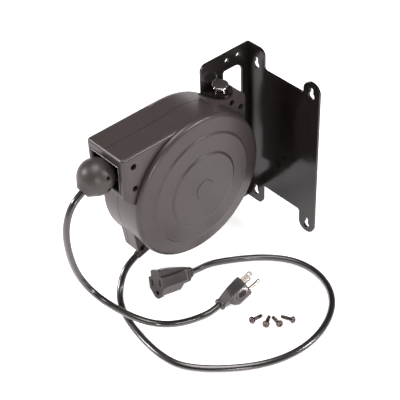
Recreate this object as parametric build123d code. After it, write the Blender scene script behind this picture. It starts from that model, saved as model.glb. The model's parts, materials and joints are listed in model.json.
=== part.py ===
"""Wall-mounted retractable extension cord reel.

Frame: millimetres, +Z up.  The origin is the centre of the four keyholes, on the back face of
the wall plate; the wall is towards +Y, the cord comes out towards -Y, and the round cover of
the housing faces +X.  The drum turns about a line along X, the reel swivels about a line along Z.
"""
from build123d import *
from math import acos, asin, atan2, cos, degrees, hypot, pi, radians, sin, sqrt, tan
import os

# ---- fits -------------------------------------------------------------------------------
RUN_FIT = 0.05          # radial clearance of a shaft that turns in its bore
LOOSE_FIT = 0.20        # clearance of a piece that is dropped into its pocket
MOVE_GAP = 0.40         # smallest gap between bodies that pass each other

# ---- wall bracket: one folded sheet -----------------------------------------------------
SHEET = 3.0
PLATE_LEFT, PLATE_RIGHT = -61.0, 56.0
PLATE_TOP, PLATE_BOTTOM = 91.5, -83.0
HOLES_WIDE, HOLES_HIGH = 88.0, 193.0       # spacing of the four keyholes
EAR_WIDTH, EAR_REACH = 25.0, 14.0          # ear width, and its end beyond the keyhole centre
FLANGE_TOP, FLANGE_BOTTOM = 118.0, -114.0
KEY_HEAD, KEY_NECK, KEY_DROP, KEY_RISE = 4.6, 2.6, 3.5, 5.0
FOLD_ROUND = 2.6
STRIP_DEPTH = 12.0                         # flange left in front of the plate beside the window
WINDOW_EDGE = 95.0                         # height of the window's end from the middle
HANGER_HOLES = (-36.6, -18.8)              # Y of the two small holes in the flange
HANGER_Z, HANGER_RADIUS = 107.8, 3.0

# ---- swivel -----------------------------------------------------------------------------
PIN_X, PIN_Y = -48.0, -57.0
PIN_RADIUS, BUSH_WALL, BUSH_LENGTH = 5.0, 2.0, 18.0
BLOCK_HALF_HEIGHT = 78.0                   # of the lugs at the back of the housing
WASHER_THICK, WASHER_RADIUS = 1.5, 12.0
TAB_FRONT, TAB_BACK, TAB_END = 19.25, 14.2, 14.4    # tab's edges at the fold from the pin, end radius
HEAD_RADIUS, HEAD_HEIGHT, NECK_RADIUS, NECK_HEIGHT = 10.0, 4.4, 6.2, 3.4
CAP_RADIUS, CAP_PROUD = 8.7, 0.6
TAB_FACE = BLOCK_HALF_HEIGHT + WASHER_THICK + LOOSE_FIT     # inner face of a tab, from the middle

# ---- housing ----------------------------------------------------------------------------
WALL = 3.0
DRUM_Y = -125.0                            # drum line: Y, at Z = 0
SPLIT_X = -48.0                            # plane where the two shells meet
HALF_WIDTH = 31.0                          # shells' side walls from the split plane
BARREL_RADIUS, RIM_RADIUS = 91.5, 92.5
SPOUT_FRONT, SPOUT_TOP, SPOUT_BOTTOM = -228.0, 89.0, 34.5
SPOUT_SLOPE = 15.0                         # the 45 degree stretch under the spout
BLOCK_HALF_WIDTH, BLOCK_BACK, BLOCK_ROUND = 17.0, -33.5, 8.0
LEFT_X, RIGHT_X = SPLIT_X - HALF_WIDTH, SPLIT_X + HALF_WIDTH
COVER_FACE = RIGHT_X + 9.4                 # X of the cover's outer ring
RING_STEPS = ((72.0, 69.4, 1.8), (48.0, 45.4, 1.9))    # outer radius, inner radius, rise
RING_ROUND, CONE_RISE = 2.2, 0.7           # rounding of the steps, and the rise from one to the next
RIM_DROP, RIM_ROUND, EDGE_ROUND, BARREL_ROUND = 3.0, 6.0, 4.2, 9.0
SEAM_DEPTH, SEAM_HALF = 0.5, 0.3
LUG_REACH, LUG_ANGLE, LUG_RADIUS = 97.5, 41.0, 6.5
LUG_LEFT, LUG_RIGHT = 8.0, 15.0            # the lug's sides from the split plane
SCREW_RADIUS, SCREW_HEAD, SCREW_RECESS, RECESS_DEPTH, BUSH_RECESS = 1.75, 3.3, 3.9, 7.0, 3.0
HUB_CAP_RADIUS, HUB_CAP_THICK, HUB_CAP_PROUD = 12.6, 2.2, 0.5
GUIDE_SEAT = 4.7                           # depth of the guide screws' heads in the spout's sides

# ---- cord mouth -------------------------------------------------------------------------
MOUTH_Z = 59.5
MOUTH_WIDE, MOUTH_HIGH = 50.0, 40.0
GUIDE_SIDE, GUIDE_PLATE, GUIDE_DEPTH = 4.0, 2.5, 29.5
ROLLER_RADIUS, ROLLER_GAP, ROLLER_PIN, ROLLER_STEP = 4.5, 12.0, 1.5, 12.0
BALL_RADIUS, BALL_Y, BALL_NOSE, BALL_TILT = 21.5, -241.5, 22.5, 28.0
BALL_SCREW_OFF = 7.7

# ---- drum -------------------------------------------------------------------------------
AXLE_RADIUS, AXLE_FLAT = 6.0, 4.6
CORE_RADIUS, CORE_WALL = 34.0, 3.0
FLANGE_RADIUS, FLANGE_THICK = 80.0, 2.5
WIND_WIDTH, WIND_RADIUS = 34.0, 75.0
HUB_RADIUS, HUB_BUSH_RADIUS, HUB_LENGTH = 12.0, 8.5, 11.5
FLANGE_OUT = WIND_WIDTH / 2 + FLANGE_THICK  # outer face of a flange, from the split plane
CASE_RADIUS, CASE_WALL, CASE_DEPTH = 56.0, 2.0, 15.0
STRIP_THICK, STRIP_PITCH, STRIP_TURNS, ARBOR_RADIUS = 0.9, 3.4, 12, 9.0
CARRIER_RADIUS, CARRIER_THICK, RING_THICK = 42.0, 2.1, 0.8
RING_RADII, RING_HALF = (21.0, 29.0, 37.0), 2.0
RATCHET_OUT, RATCHET_IN, RATCHET_ROOT, RATCHET_THICK, RATCHET_TEETH = 69.0, 58.0, 63.0, 3.1, 12
PAWL_PIVOT, PAWL_TIP, PAWL_NOSE, PAWL_THICK = (18.0, -74.5), (2.0, -71.0), 1.5, 2.4

# ---- cords ------------------------------------------------------------------------------
CORD = 8.0                                 # outside diameter of the three-core cord
BENCH_Z = -123.0                           # level that the loose cords lie on
GLAND = (SPLIT_X, -173.0, -78.0)           # where the power lead comes through the housing
GLAND_TILT = 22.4                          # degrees below -Y
RELIEF_LENGTH, RELIEF_ROOT, RELIEF_TIP, RELIEF_FLANGE = 26.0, 6.6, 4.7, 8.6
RELIEF_INSIDE, RELIEF_OUTSIDE = 12.5, 5.5  # straight part of the relief, either side of the gland
TAIL_ROUTE = (
    (-48.4, -277.9, 36.2), (-49.0, -283.6, 25.2), (-49.7, -286.9, 12.0), (-50.5, -288.2, -4.5),
    (-51.5, -287.0, -24.0), (-52.2, -284.2, -43.0), (-52.2, -280.5, -60.0), (-51.5, -276.5, -73.0),
    (-47.4, -272.7, -84.2), (-40.2, -268.8, -93.5), (-30.4, -265.2, -99.8), (-18.8, -262.1, -102.9),
    (-1.0, -259.0, -102.9), (17.0, -254.3, -102.9), (34.0, -245.5, -104.8), (46.0, -230.5, -109.5),
    (52.5, -211.0, -115.0), (56.5, -190.5, -118.3),
)
LEAD_ROUTE = (
    (-46.3, -218.4, -99.4), (-42.5, -226.9, -107.8), (-35.5, -235.1, -114.0), (-25.9, -242.5, -117.2),
    (-12.4, -248.8, -118.7), (6.0, -254.5, -119.0), (26.0, -258.5, -119.0), (47.0, -261.0, -119.0),
    (70.0, -261.3, -119.0), (94.0, -256.5, -119.0), (117.0, -239.5, -119.0), (137.5, -217.0, -119.0),
    (154.0, -193.5, -119.0), (165.5, -168.0, -119.0), (171.0, -139.0, -119.0), (168.5, -110.0, -119.0),
    (159.0, -83.0, -119.0), (143.0, -60.0, -119.0), (119.0, -44.5, -119.0), (90.0, -39.0, -119.0),
    (62.0, -46.0, -119.0), (38.0, -64.0, -119.0), (18.0, -88.5, -119.0), (3.0, -112.5, -119.0),
    (-3.0, -126.5, -118.9),
)
STRAIGHT_END, BALL_STRAIGHT = 12.0, 10.5   # straight cord at a gland or plug, and at the ball
PLUG_AT, PLUG_HEADING, PLUG_ROLL = (60.0, -164.2, -115.0), (-0.054, 0.988, 0.143), 199.0
PLUG_LENGTH, PLUG_NECK, PLUG_HALF_THICK = 39.0, 4.0, 9.4
CONNECTOR_AT, CONNECTOR_HEADING, CONNECTOR_ROLL = (-4.4, -151.8, -115.0), (0.017, -0.950, 0.311), 27.0
CONNECTOR_LENGTH, CONNECTOR_NECK, CONNECTOR_HALF_WIDE = 56.0, 8.0, 12.0
CONNECTOR_PLATE, CONNECTOR_SETBACK = 4.5, 1.5   # thickness of its front plate; body set back from it
BLADE_SPACING, BLADE_WIDE, BLADE_THICK, BLADE_LENGTH = 12.7, 6.35, 1.5, 17.0
GROUND_OFFSET, GROUND_RADIUS, GROUND_LENGTH = 11.9, 2.4, 20.0

# ---- loose mounting screws --------------------------------------------------------------
MOUNT_HEAD, MOUNT_SHANK, MOUNT_LENGTH = 4.3, 2.0, 14.0
LOOSE_SCREWS = ((101.0, -150.0, 88.0), (116.0, -143.0, 121.0), (126.0, -132.0, 166.0),
                (132.0, -117.0, 196.0))  # middle of each and its heading


# ---- small helpers ----------------------------------------------------------------------
def rod(axis, radius, start, end, a=0.0, b=0.0):
    """Cylinder along an axis from start to end; a and b are its other two coordinates."""
    turn = {"X": (0, 90, 0), "Y": (-90, 0, 0), "Z": (0, 0, 0)}[axis]
    middle = (start + end) / 2
    place = {"X": (middle, a, b), "Y": (a, middle, b), "Z": (a, b, middle)}[axis]
    return Pos(*place) * Rot(*turn) * Cylinder(radius, abs(end - start))


def ring(axis, outer, inner, start, end, a=0.0, b=0.0):
    """Tube along an axis."""
    return rod(axis, outer, start, end, a, b) - rod(axis, inner, start, end, a, b)


def block(x0, x1, y0, y1, z0, z1):
    """Box between two corners."""
    return Pos((x0 + x1) / 2, (y0 + y1) / 2, (z0 + z1) / 2) * Box(x1 - x0, y1 - y0, z1 - z0)


def drum_rod(radius, start, end):
    """Cylinder about the drum line, placed by X measured from the split plane."""
    return rod("X", radius, SPLIT_X + start, SPLIT_X + end, DRUM_Y, 0)


def drum_ring(outer, inner, start, end):
    """Tube about the drum line, placed by X measured from the split plane."""
    return drum_rod(outer, start, end) - drum_rod(inner, start, end)


def rectangle(x0, x1, y0, y1):
    """Flat rectangle between two corners."""
    return Pos((x0 + x1) / 2, (y0 + y1) / 2) * Rectangle(x1 - x0, y1 - y0)


def outline(*points):
    """Flat face inside a closed run of straight lines."""
    return make_face(Polyline(*points, close=True))


def round_corners(face, radius, *points):
    """Rounds the corners of a flat face that lie nearest to the given points."""
    corners = [face.vertices().sort_by_distance((x, y, 0))[0] for x, y in points]
    return fillet(corners, radius)


def along_x(face, start, end):
    """Side view (Y across, Z up) made solid between two X values."""
    return extrude(Plane.YZ.offset(start) * face, end - start)


def join(shapes):
    """One node holding separate solids."""
    return Compound(children=[solid for shape in shapes for solid in shape.solids()])


def both_ends(shape):
    """A shape and its mirror image below the middle."""
    return [shape, mirror(shape, Plane.XY)]


def save(name, shape):
    """Writes one node."""
    export_step(shape, f"parts/{name}.step")


def polar(radius, angle):
    """Side-view point about the drum line; the angle is measured from -Y towards +Z."""
    return DRUM_Y - radius * cos(radians(angle)), radius * sin(radians(angle))


# ---- wall bracket -----------------------------------------------------------------------
def keyhole():
    """Round entry below, narrow neck above, centred on the middle of the whole opening."""
    neck = rectangle(-KEY_NECK, KEY_NECK, -KEY_DROP, KEY_RISE)
    return Pos(0, -KEY_DROP) * Circle(KEY_HEAD) + neck + Pos(0, KEY_RISE) * Circle(KEY_NECK)


def plate_face():
    """Front view of the wall plate: a rectangle with four ears."""
    half_x, half_z = HOLES_WIDE / 2, HOLES_HIGH / 2
    ear_left, ear_inside = half_x - EAR_WIDTH / 2, -half_x + EAR_WIDTH / 2
    ear_top = half_z + EAR_REACH
    face = rectangle(PLATE_LEFT, PLATE_RIGHT, PLATE_BOTTOM, PLATE_TOP)
    face += rectangle(ear_left, PLATE_RIGHT, -ear_top, ear_top)
    face += rectangle(PLATE_LEFT, ear_inside, FLANGE_BOTTOM, FLANGE_TOP)
    face -= rectangle(ear_inside, ear_left, PLATE_TOP, FLANGE_TOP)
    face -= rectangle(ear_inside, ear_left, FLANGE_BOTTOM, PLATE_BOTTOM)
    tips = [(ear_left, ear_top), (PLATE_RIGHT, ear_top), (ear_left, -ear_top), (PLATE_RIGHT, -ear_top)]
    face = round_corners(face, EAR_WIDTH / 2 - 0.6, *tips)
    face = round_corners(face, 9.0, (ear_inside, FLANGE_TOP), (ear_inside, FLANGE_BOTTOM))
    notches = [(x, z) for x in (ear_inside, ear_left) for z in (PLATE_TOP, PLATE_BOTTOM)]
    face = round_corners(face, 4.0, *notches)
    for x in (-half_x, half_x):
        for z in (-half_z, half_z):
            face -= Pos(x, z) * keyhole()
    return face


def flange_face():
    """Side view of the flange: a C with two necks that carry the tabs."""
    neck_front, neck_back = PIN_Y - TAB_FRONT, PIN_Y + TAB_BACK
    face = rectangle(neck_front, 0, FLANGE_BOTTOM, FLANGE_TOP)
    face -= rectangle(neck_front, -STRIP_DEPTH, -TAB_FACE, TAB_FACE)
    face -= rectangle(neck_back, -STRIP_DEPTH, -WINDOW_EDGE, WINDOW_EDGE)
    face = round_corners(face, 8.0, (neck_front, FLANGE_TOP), (neck_front, FLANGE_BOTTOM))
    face = round_corners(face, 13.0, (-STRIP_DEPTH, WINDOW_EDGE), (-STRIP_DEPTH, -WINDOW_EDGE))
    face = round_corners(face, 3.0, (neck_back, WINDOW_EDGE), (neck_back, -WINDOW_EDGE))
    for y in HANGER_HOLES:
        face -= Pos(y, HANGER_Z) * Circle(HANGER_RADIUS)
    return face


def tab():
    """Upper tab: wide at the fold, narrowing to a round end about the pivot pin."""
    root = rectangle(PLATE_LEFT, PLATE_LEFT + SHEET, PIN_Y - TAB_FRONT, PIN_Y + TAB_BACK)
    end = Pos(PIN_X, PIN_Y) * Circle(TAB_END)
    face = make_hull(root.edges() + end.edges())
    face -= rectangle(PIN_X - 2 * TAB_END, PLATE_LEFT, PIN_Y - TAB_FRONT, PIN_Y + TAB_FRONT)
    face -= Pos(PIN_X, PIN_Y) * Circle(PIN_RADIUS + RUN_FIT)
    return extrude(Pos(0, 0, TAB_FACE) * face, SHEET)


def wall_bracket():
    """Plate, flange and two tabs as one folded sheet."""
    plate = extrude(Plane.XZ * plate_face(), SHEET)
    flange = along_x(flange_face(), PLATE_LEFT, PLATE_LEFT + SHEET)
    sheet = plate + flange
    for piece in both_ends(tab()):
        sheet += piece
    upright = sheet.edges().filter_by(Axis.Z)
    outside = upright.filter_by_position(Axis.X, PLATE_LEFT - 0.01, PLATE_LEFT + 0.01)
    outside = outside.filter_by_position(Axis.Y, -0.01, 0.01)
    level = sheet.edges().filter_by(Axis.Y).filter_by_position(Axis.X, PLATE_LEFT - 0.01, PLATE_LEFT + 0.01)
    folds = [edge for edge in level if abs(abs(edge.center().Z) - TAB_FACE) < 0.01]
    return fillet(list(outside) + folds, FOLD_ROUND)


def pivot_pin():
    """Upper pivot pin: a cupped head on a stepped neck, standing on the tab."""
    seat = TAB_FACE + SHEET
    head_from = seat + NECK_HEIGHT
    foot = BLOCK_HALF_HEIGHT - BUSH_LENGTH + 1.0
    pin = rod("Z", PIN_RADIUS, foot, seat, PIN_X, PIN_Y)
    pin += rod("Z", NECK_RADIUS + 1.6, seat, seat + NECK_HEIGHT / 2, PIN_X, PIN_Y)
    pin += rod("Z", NECK_RADIUS, seat, head_from, PIN_X, PIN_Y)
    head = rod("Z", HEAD_RADIUS, head_from, head_from + HEAD_HEIGHT, PIN_X, PIN_Y)
    head = chamfer(head.edges().group_by(Axis.Z)[0], 2.2)
    head = fillet(head.edges().group_by(Axis.Z)[-1], 0.5)
    pin += head
    return pin - rod("Z", CAP_RADIUS, head_from + HEAD_HEIGHT / 2, head_from + HEAD_HEIGHT, PIN_X, PIN_Y)


def pin_cap():
    """Plastic disc pressed into the head of the upper pivot pin."""
    floor = TAB_FACE + SHEET + NECK_HEIGHT + HEAD_HEIGHT / 2
    disc = rod("Z", CAP_RADIUS, floor, floor + HEAD_HEIGHT / 2 + CAP_PROUD, PIN_X, PIN_Y)
    return fillet(disc.edges().group_by(Axis.Z)[-1], 0.5)


def pivot_bush():
    """Upper plain bush, pressed into the lug of the housing."""
    start = BLOCK_HALF_HEIGHT - BUSH_LENGTH
    return ring("Z", PIN_RADIUS + BUSH_WALL, PIN_RADIUS + RUN_FIT, start, BLOCK_HALF_HEIGHT, PIN_X, PIN_Y)


def thrust_washer():
    """Upper nylon washer under the tab; it stays with the bracket."""
    return ring("Z", WASHER_RADIUS, PIN_RADIUS + RUN_FIT, TAB_FACE - WASHER_THICK, TAB_FACE, PIN_X, PIN_Y)


# ---- housing ----------------------------------------------------------------------------
def cover_section(inset):
    """Half section of the round body (X across, radius up), inset by a wall all round."""
    face_x = COVER_FACE
    upper = [(LEFT_X, 0), (LEFT_X, BARREL_RADIUS), (RIGHT_X, BARREL_RADIUS), (RIGHT_X + 1, RIM_RADIUS),
             (face_x - RIM_DROP, RIM_RADIUS)]
    for outer, inner, rise in RING_STEPS:
        upper += [(face_x, outer), (face_x + rise, inner)]
        face_x += rise + CONE_RISE
    upper += [(face_x, 0)]
    face = outline(*upper, *[(x, -r) for x, r in reversed(upper[1:-1])])
    steps = [corner for corner in upper if RING_STEPS[-1][1] <= corner[1] <= RING_STEPS[0][0]]
    face = round_corners(face, RING_ROUND, *steps, *[(x, -r) for x, r in steps])
    for side in (1, -1):
        face = round_corners(face, BARREL_ROUND, (LEFT_X, side * BARREL_RADIUS))
        face = round_corners(face, RIM_ROUND, (COVER_FACE - RIM_DROP, side * RIM_RADIUS))
    if inset:
        face = offset(face, -inset, kind=Kind.INTERSECTION)
    return face & rectangle(LEFT_X, face_x, 0, RIM_RADIUS)


def round_body(inset=0.0):
    """Barrel and dished cover, turned about the drum line."""
    return Pos(0, DRUM_Y, 0) * revolve(cover_section(inset), Axis.X)


def spout_face():
    """Side view of the spout that holds the cord mouth."""
    slope_end = SPOUT_FRONT + SPOUT_SLOPE
    low = SPOUT_BOTTOM - SPOUT_SLOPE
    return outline((SPOUT_FRONT, SPOUT_TOP), (SPOUT_FRONT, SPOUT_BOTTOM), (slope_end, low), (DRUM_Y, low),
                   (DRUM_Y, SPOUT_TOP))


def spout():
    """Spout with rounded top and front edges."""
    solid = along_x(spout_face(), LEFT_X, RIGHT_X)
    top = solid.edges().filter_by(Axis.Y).group_by(Axis.Z)[-1]
    front = solid.edges().filter_by(Axis.Z).group_by(Axis.Y)[0]
    front_top = solid.edges().filter_by(Axis.X).group_by(Axis.Z)[-1].group_by(Axis.Y)[0]
    return fillet(list(top) + list(front) + list(front_top), EDGE_ROUND)


def block_face():
    """Side view of the lugs behind the barrel that carry the swivel bushes."""
    face = rectangle(DRUM_Y, BLOCK_BACK, -BLOCK_HALF_HEIGHT, BLOCK_HALF_HEIGHT)
    return round_corners(face, BLOCK_ROUND, (BLOCK_BACK, BLOCK_HALF_HEIGHT), (BLOCK_BACK, -BLOCK_HALF_HEIGHT))


def lug_face():
    """Side view of the screw lug under the spout, faired into the barrel."""
    tip = Pos(*polar(LUG_REACH, -LUG_ANGLE)) * Circle(LUG_RADIUS)
    upper = Pos(*polar(BARREL_RADIUS - 1.6, -LUG_ANGLE + 19)) * Circle(1.0)
    lower = Pos(*polar(BARREL_RADIUS - 4.0, -LUG_ANGLE - 10)) * Circle(2.0)
    return make_hull(tip.edges() + upper.edges() + lower.edges())


def housing_screw_places():
    """Side-view places of the screws that close the two shells."""
    upper = (PIN_Y + 16.0, BLOCK_HALF_HEIGHT - 19.0)
    return [upper, (upper[0], -upper[1]), polar(LUG_REACH, -LUG_ANGLE)]


def bush_screw_places():
    """Side-view places of the screws that lock the swivel bushes."""
    return [(PIN_Y + 2.0, side * (BLOCK_HALF_HEIGHT - 6.5)) for side in (1, -1)]


def screw_land(place):
    """X of the outer face that a housing screw goes in through."""
    on_block = abs(place[1]) > BLOCK_HALF_HEIGHT / 2 and place[0] > DRUM_Y
    return SPLIT_X + (BLOCK_HALF_WIDTH if on_block else LUG_RIGHT)


def screw_end(place):
    """X that the tip of a housing screw reaches in the left shell."""
    return SPLIT_X - (11.0 if screw_land(place) - SPLIT_X > LUG_RIGHT else LUG_LEFT - 3.0)


def guide_screw_places():
    """Side-view places of the screws through the spout's sides into the roller guide."""
    return [(SPOUT_FRONT + 15.0, MOUTH_Z + side * 15.0) for side in (1, -1)]


def gland_plane(distance=0.0):
    """Plane square to the power lead, at a distance out of the housing."""
    tilt = radians(GLAND_TILT)
    way = Vector(0, -cos(tilt), -sin(tilt))
    return Plane(origin=Vector(*GLAND) + way * distance, x_dir=(1, 0, 0), z_dir=way)


def seam():
    """Shallow groove round the outside where the shells meet."""
    face = Pos(DRUM_Y, 0) * Circle(BARREL_RADIUS) + spout_face() + block_face() + lug_face()
    inside = offset(face, -SEAM_DEPTH, kind=Kind.INTERSECTION)
    return along_x(face - inside, SPLIT_X - SEAM_HALF, SPLIT_X + SEAM_HALF)


def housing():
    """Both shells as one hollow body, before it is parted."""
    body = round_body() + spout()
    body += along_x(block_face(), SPLIT_X - BLOCK_HALF_WIDTH, SPLIT_X + BLOCK_HALF_WIDTH)
    body += along_x(lug_face(), SPLIT_X - LUG_LEFT, SPLIT_X + LUG_RIGHT)
    cavity = round_body(WALL)
    cavity += along_x(offset(spout_face(), -WALL, kind=Kind.INTERSECTION), LEFT_X + WALL, RIGHT_X - WALL)
    body -= cavity
    body += bosses()
    return body - openings() - seam()


def inner_cover_x():
    """X of the inside of the cover at its middle."""
    return COVER_FACE + sum(rise + CONE_RISE for _, _, rise in RING_STEPS) - WALL


def axle_ends():
    """X of the two ends of the axle: the webs that its bolts pull against."""
    return LEFT_X + 5.0, inner_cover_x() - 5.0


def bosses():
    """Solid bosses inside the shells: axle ends, guide screws and pawl pin."""
    left, right = axle_ends()
    shapes = rod("X", 15.0, LEFT_X + WALL, left + 2.2, DRUM_Y, 0)
    shapes += rod("X", 15.0, right - 1.4, inner_cover_x(), DRUM_Y, 0)
    guide_half = MOUTH_WIDE / 2 - LOOSE_FIT
    for y, z in guide_screw_places():
        for side in (1, -1):
            wall, guide = SPLIT_X + side * (HALF_WIDTH - WALL), SPLIT_X + side * guide_half
            shapes += rod("X", SCREW_RECESS + 1.0, min(wall, guide), max(wall, guide), y, z)
    y, z = pawl_pivot()
    shapes += rod("X", 4.0, LEFT_X + WALL, pawl_x() - 0.2, y, z)
    return shapes


def axle_bore():
    """Flatted bore and bolt holes for the axle, through both bosses."""
    left, right = axle_ends()
    shape = axle_bar(left, right, LOOSE_FIT / 4)
    shape += rod("X", 3.2, LEFT_X, inner_cover_x() + WALL, DRUM_Y, 0)
    shape += rod("X", 7.0, LEFT_X, left - 1.8, DRUM_Y, 0)
    shape += rod("X", 7.0, right + 1.8, inner_cover_x() + WALL, DRUM_Y, 0)
    cap_seat = inner_cover_x() + WALL - HUB_CAP_THICK
    return shape + rod("X", HUB_CAP_RADIUS + LOOSE_FIT, cap_seat, inner_cover_x() + WALL, DRUM_Y, 0)


def openings():
    """Everything that is cut through the shells."""
    left_end, right_end = SPLIT_X - HALF_WIDTH - 1, SPLIT_X + HALF_WIDTH + 1
    half_x, half_z = MOUTH_WIDE / 2, MOUTH_HIGH / 2
    shape = block(SPLIT_X - half_x, SPLIT_X + half_x, SPOUT_FRONT - 1, SPOUT_FRONT + WALL + 0.5,
                  MOUTH_Z - half_z, MOUTH_Z + half_z)
    for place in housing_screw_places():
        land = screw_land(place)
        shape += rod("X", SCREW_RECESS, land - RECESS_DEPTH, land, *place)
        shape += rod("X", SCREW_RADIUS, screw_end(place) - 1.0, land, *place)
    land = SPLIT_X + BLOCK_HALF_WIDTH
    for place in bush_screw_places():
        shape += rod("X", SCREW_RECESS, land - BUSH_RECESS, land, *place)
        shape += rod("X", SCREW_RADIUS, SPLIT_X, land, *place)
    for place in guide_screw_places():
        shape += rod("X", SCREW_RADIUS + LOOSE_FIT, left_end, right_end, *place)
        shape += rod("X", SCREW_RECESS, RIGHT_X - GUIDE_SEAT, right_end, *place)
        shape += rod("X", SCREW_RECESS, left_end, LEFT_X + GUIDE_SEAT, *place)
    for bush in both_ends(rod("Z", PIN_RADIUS + BUSH_WALL, BLOCK_HALF_HEIGHT - BUSH_LENGTH,
                              BLOCK_HALF_HEIGHT, PIN_X, PIN_Y)):
        shape += bush
    shape += axle_bore()
    hole_depth = RELIEF_INSIDE + RELIEF_OUTSIDE + 6
    shape += extrude(gland_plane(-RELIEF_INSIDE) * Circle(RELIEF_ROOT + RUN_FIT), hole_depth)
    y, z = pawl_pivot()
    return shape + rod("X", 1.5, LEFT_X + 1.5, pawl_x(), y, z)


def hub_cap():
    """Round badge-like cap that hides the axle bolt; it carries no marking."""
    outer = inner_cover_x() + WALL
    disc = rod("X", HUB_CAP_RADIUS, outer - HUB_CAP_THICK, outer + HUB_CAP_PROUD, DRUM_Y, 0)
    return fillet(disc.edges().group_by(Axis.X)[-1], 0.8)


def screw(head_x, way, length, y, z):
    """Pan-head screw along X; way is +1 or -1, pointing to its tip."""
    head = rod("X", SCREW_HEAD, min(head_x, head_x - way * 2.2), max(head_x, head_x - way * 2.2), y, z)
    tip = head_x + way * length
    drive = rod("X", 1.3, *sorted((head_x - way * 0.9, head_x - way * 2.2)), y, z)
    return head + rod("X", SCREW_RADIUS, min(head_x, tip), max(head_x, tip), y, z) - drive


def housing_screws():
    """Screws that hold the shells together, and the short ones that lock the bushes."""
    closing = []
    for place in housing_screw_places():
        seat = screw_land(place) - RECESS_DEPTH
        closing.append(screw(seat, -1, seat - screw_end(place), *place))
    seat = BLOCK_HALF_WIDTH - BUSH_RECESS
    reach = seat - PIN_RADIUS - BUSH_WALL
    locking = [screw(SPLIT_X + seat, -1, reach, *place) for place in bush_screw_places()]
    return join(closing + locking)


def guide_screws():
    """Screws through the spout's sides into the roller guide."""
    length = HALF_WIDTH - GUIDE_SEAT - MOUTH_WIDE / 2 + LOOSE_FIT + GUIDE_SIDE - 0.3
    return join([screw(SPLIT_X + side * (HALF_WIDTH - GUIDE_SEAT), -side, length, *place)
                 for place in guide_screw_places() for side in (1, -1)])


# ---- cord mouth -------------------------------------------------------------------------
def roller_rows():
    """Y of the level rollers and of the upright rollers behind them."""
    reach = BALL_RADIUS + ROLLER_RADIUS + MOVE_GAP
    level = BALL_Y + sqrt(reach ** 2 - (ROLLER_GAP / 2 + ROLLER_RADIUS) ** 2)
    return level, level + ROLLER_STEP


def guide_frame():
    """Open box behind the mouth that carries four rollers."""
    half_x, half_z = MOUTH_WIDE / 2 - LOOSE_FIT, MOUTH_HIGH / 2 - LOOSE_FIT
    front, back = SPOUT_FRONT + 0.5, SPOUT_FRONT + 0.5 + GUIDE_DEPTH
    in_x, in_z = half_x - GUIDE_SIDE, half_z - GUIDE_PLATE
    body = block(SPLIT_X - half_x, SPLIT_X + half_x, front, back, MOUTH_Z - half_z, MOUTH_Z + half_z)
    body -= block(SPLIT_X - in_x, SPLIT_X + in_x, front, back - 2.5, MOUTH_Z - in_z, MOUTH_Z + in_z)
    body -= block(SPLIT_X - 9, SPLIT_X + 9, back - 3, back, MOUTH_Z - 11, MOUTH_Z + 13)
    for pin in roller_pin_list():
        body -= pin
    for place in guide_screw_places():
        body -= rod("X", SCREW_RADIUS, SPLIT_X - half_x, SPLIT_X + half_x, *place)
    return body


def roller_places():
    """Name, axis, half length and place of each roller."""
    level, upright = roller_rows()
    off = ROLLER_GAP / 2 + ROLLER_RADIUS
    half_x = MOUTH_WIDE / 2 - LOOSE_FIT - GUIDE_SIDE
    half_z = MOUTH_HIGH / 2 - LOOSE_FIT - GUIDE_PLATE
    return [("top", "X", half_x, (level, MOUTH_Z + off)), ("bottom", "X", half_x, (level, MOUTH_Z - off)),
            ("left", "Z", half_z, (SPLIT_X - off, upright)), ("right", "Z", half_z, (SPLIT_X + off, upright))]


def roller(axis, half, place):
    """Guide roller with a plain bore."""
    middle = SPLIT_X if axis == "X" else MOUTH_Z
    start, end = middle - half + MOVE_GAP, middle + half - MOVE_GAP
    body = rod(axis, ROLLER_RADIUS, start, end, *place)
    body = fillet(body.edges().filter_by(GeomType.CIRCLE), 0.8)
    return body - rod(axis, ROLLER_PIN + RUN_FIT, start, end, *place)


def roller_pin_list():
    """The four steel pins of the rollers."""
    pins = []
    for _, axis, half, place in roller_places():
        middle, grip = (SPLIT_X, GUIDE_SIDE) if axis == "X" else (MOUTH_Z, GUIDE_PLATE)
        reach = half + grip - 0.3
        pins.append(rod(axis, ROLLER_PIN, middle - reach, middle + reach, *place))
    return pins


def feed_points():
    """Route of the cord from the winding to the nose of the ball stop."""
    bend_y = roller_rows()[1] + 2.5
    touch = WIND_RADIUS + CORD / 2 + MOVE_GAP
    out, up = bend_y - DRUM_Y, MOUTH_Z
    angle = atan2(up, out) - acos(touch / hypot(out, up))
    tilt = radians(BALL_TILT)
    nose = (SPLIT_X, BALL_Y - BALL_NOSE * cos(tilt), MOUTH_Z - BALL_NOSE * sin(tilt))
    return [(SPLIT_X, DRUM_Y + touch * cos(angle), touch * sin(angle)), (SPLIT_X, bend_y, MOUTH_Z),
            (SPLIT_X, BALL_Y, MOUTH_Z), nose]


def ball_stop():
    """Whole ball stop: a sphere with a coned nose, bored for the cord."""
    flat = BALL_RADIUS / sqrt(2)
    nose_radius = 2 * flat - BALL_NOSE
    way = Vector(0, -cos(radians(BALL_TILT)), -sin(radians(BALL_TILT)))
    base = Plane(origin=Vector(SPLIT_X, BALL_Y, MOUTH_Z) + way * flat, x_dir=(1, 0, 0), z_dir=way)
    length = BALL_NOSE - flat
    nose = base * Pos(0, 0, length / 2) * Cone(flat, nose_radius, length)
    body = Pos(SPLIT_X, BALL_Y, MOUTH_Z) * Sphere(BALL_RADIUS) + nose
    for side in (1, -1):
        z = MOUTH_Z + side * BALL_SCREW_OFF
        body -= rod("X", 1.3, SPLIT_X - 9, SPLIT_X + 9, BALL_Y + 2, z)
        body -= rod("X", 2.4, SPLIT_X + 9, SPLIT_X + BALL_RADIUS, BALL_Y + 2, z)
    return body - tube(feed_points(), CORD / 2 + RUN_FIT)


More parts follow.
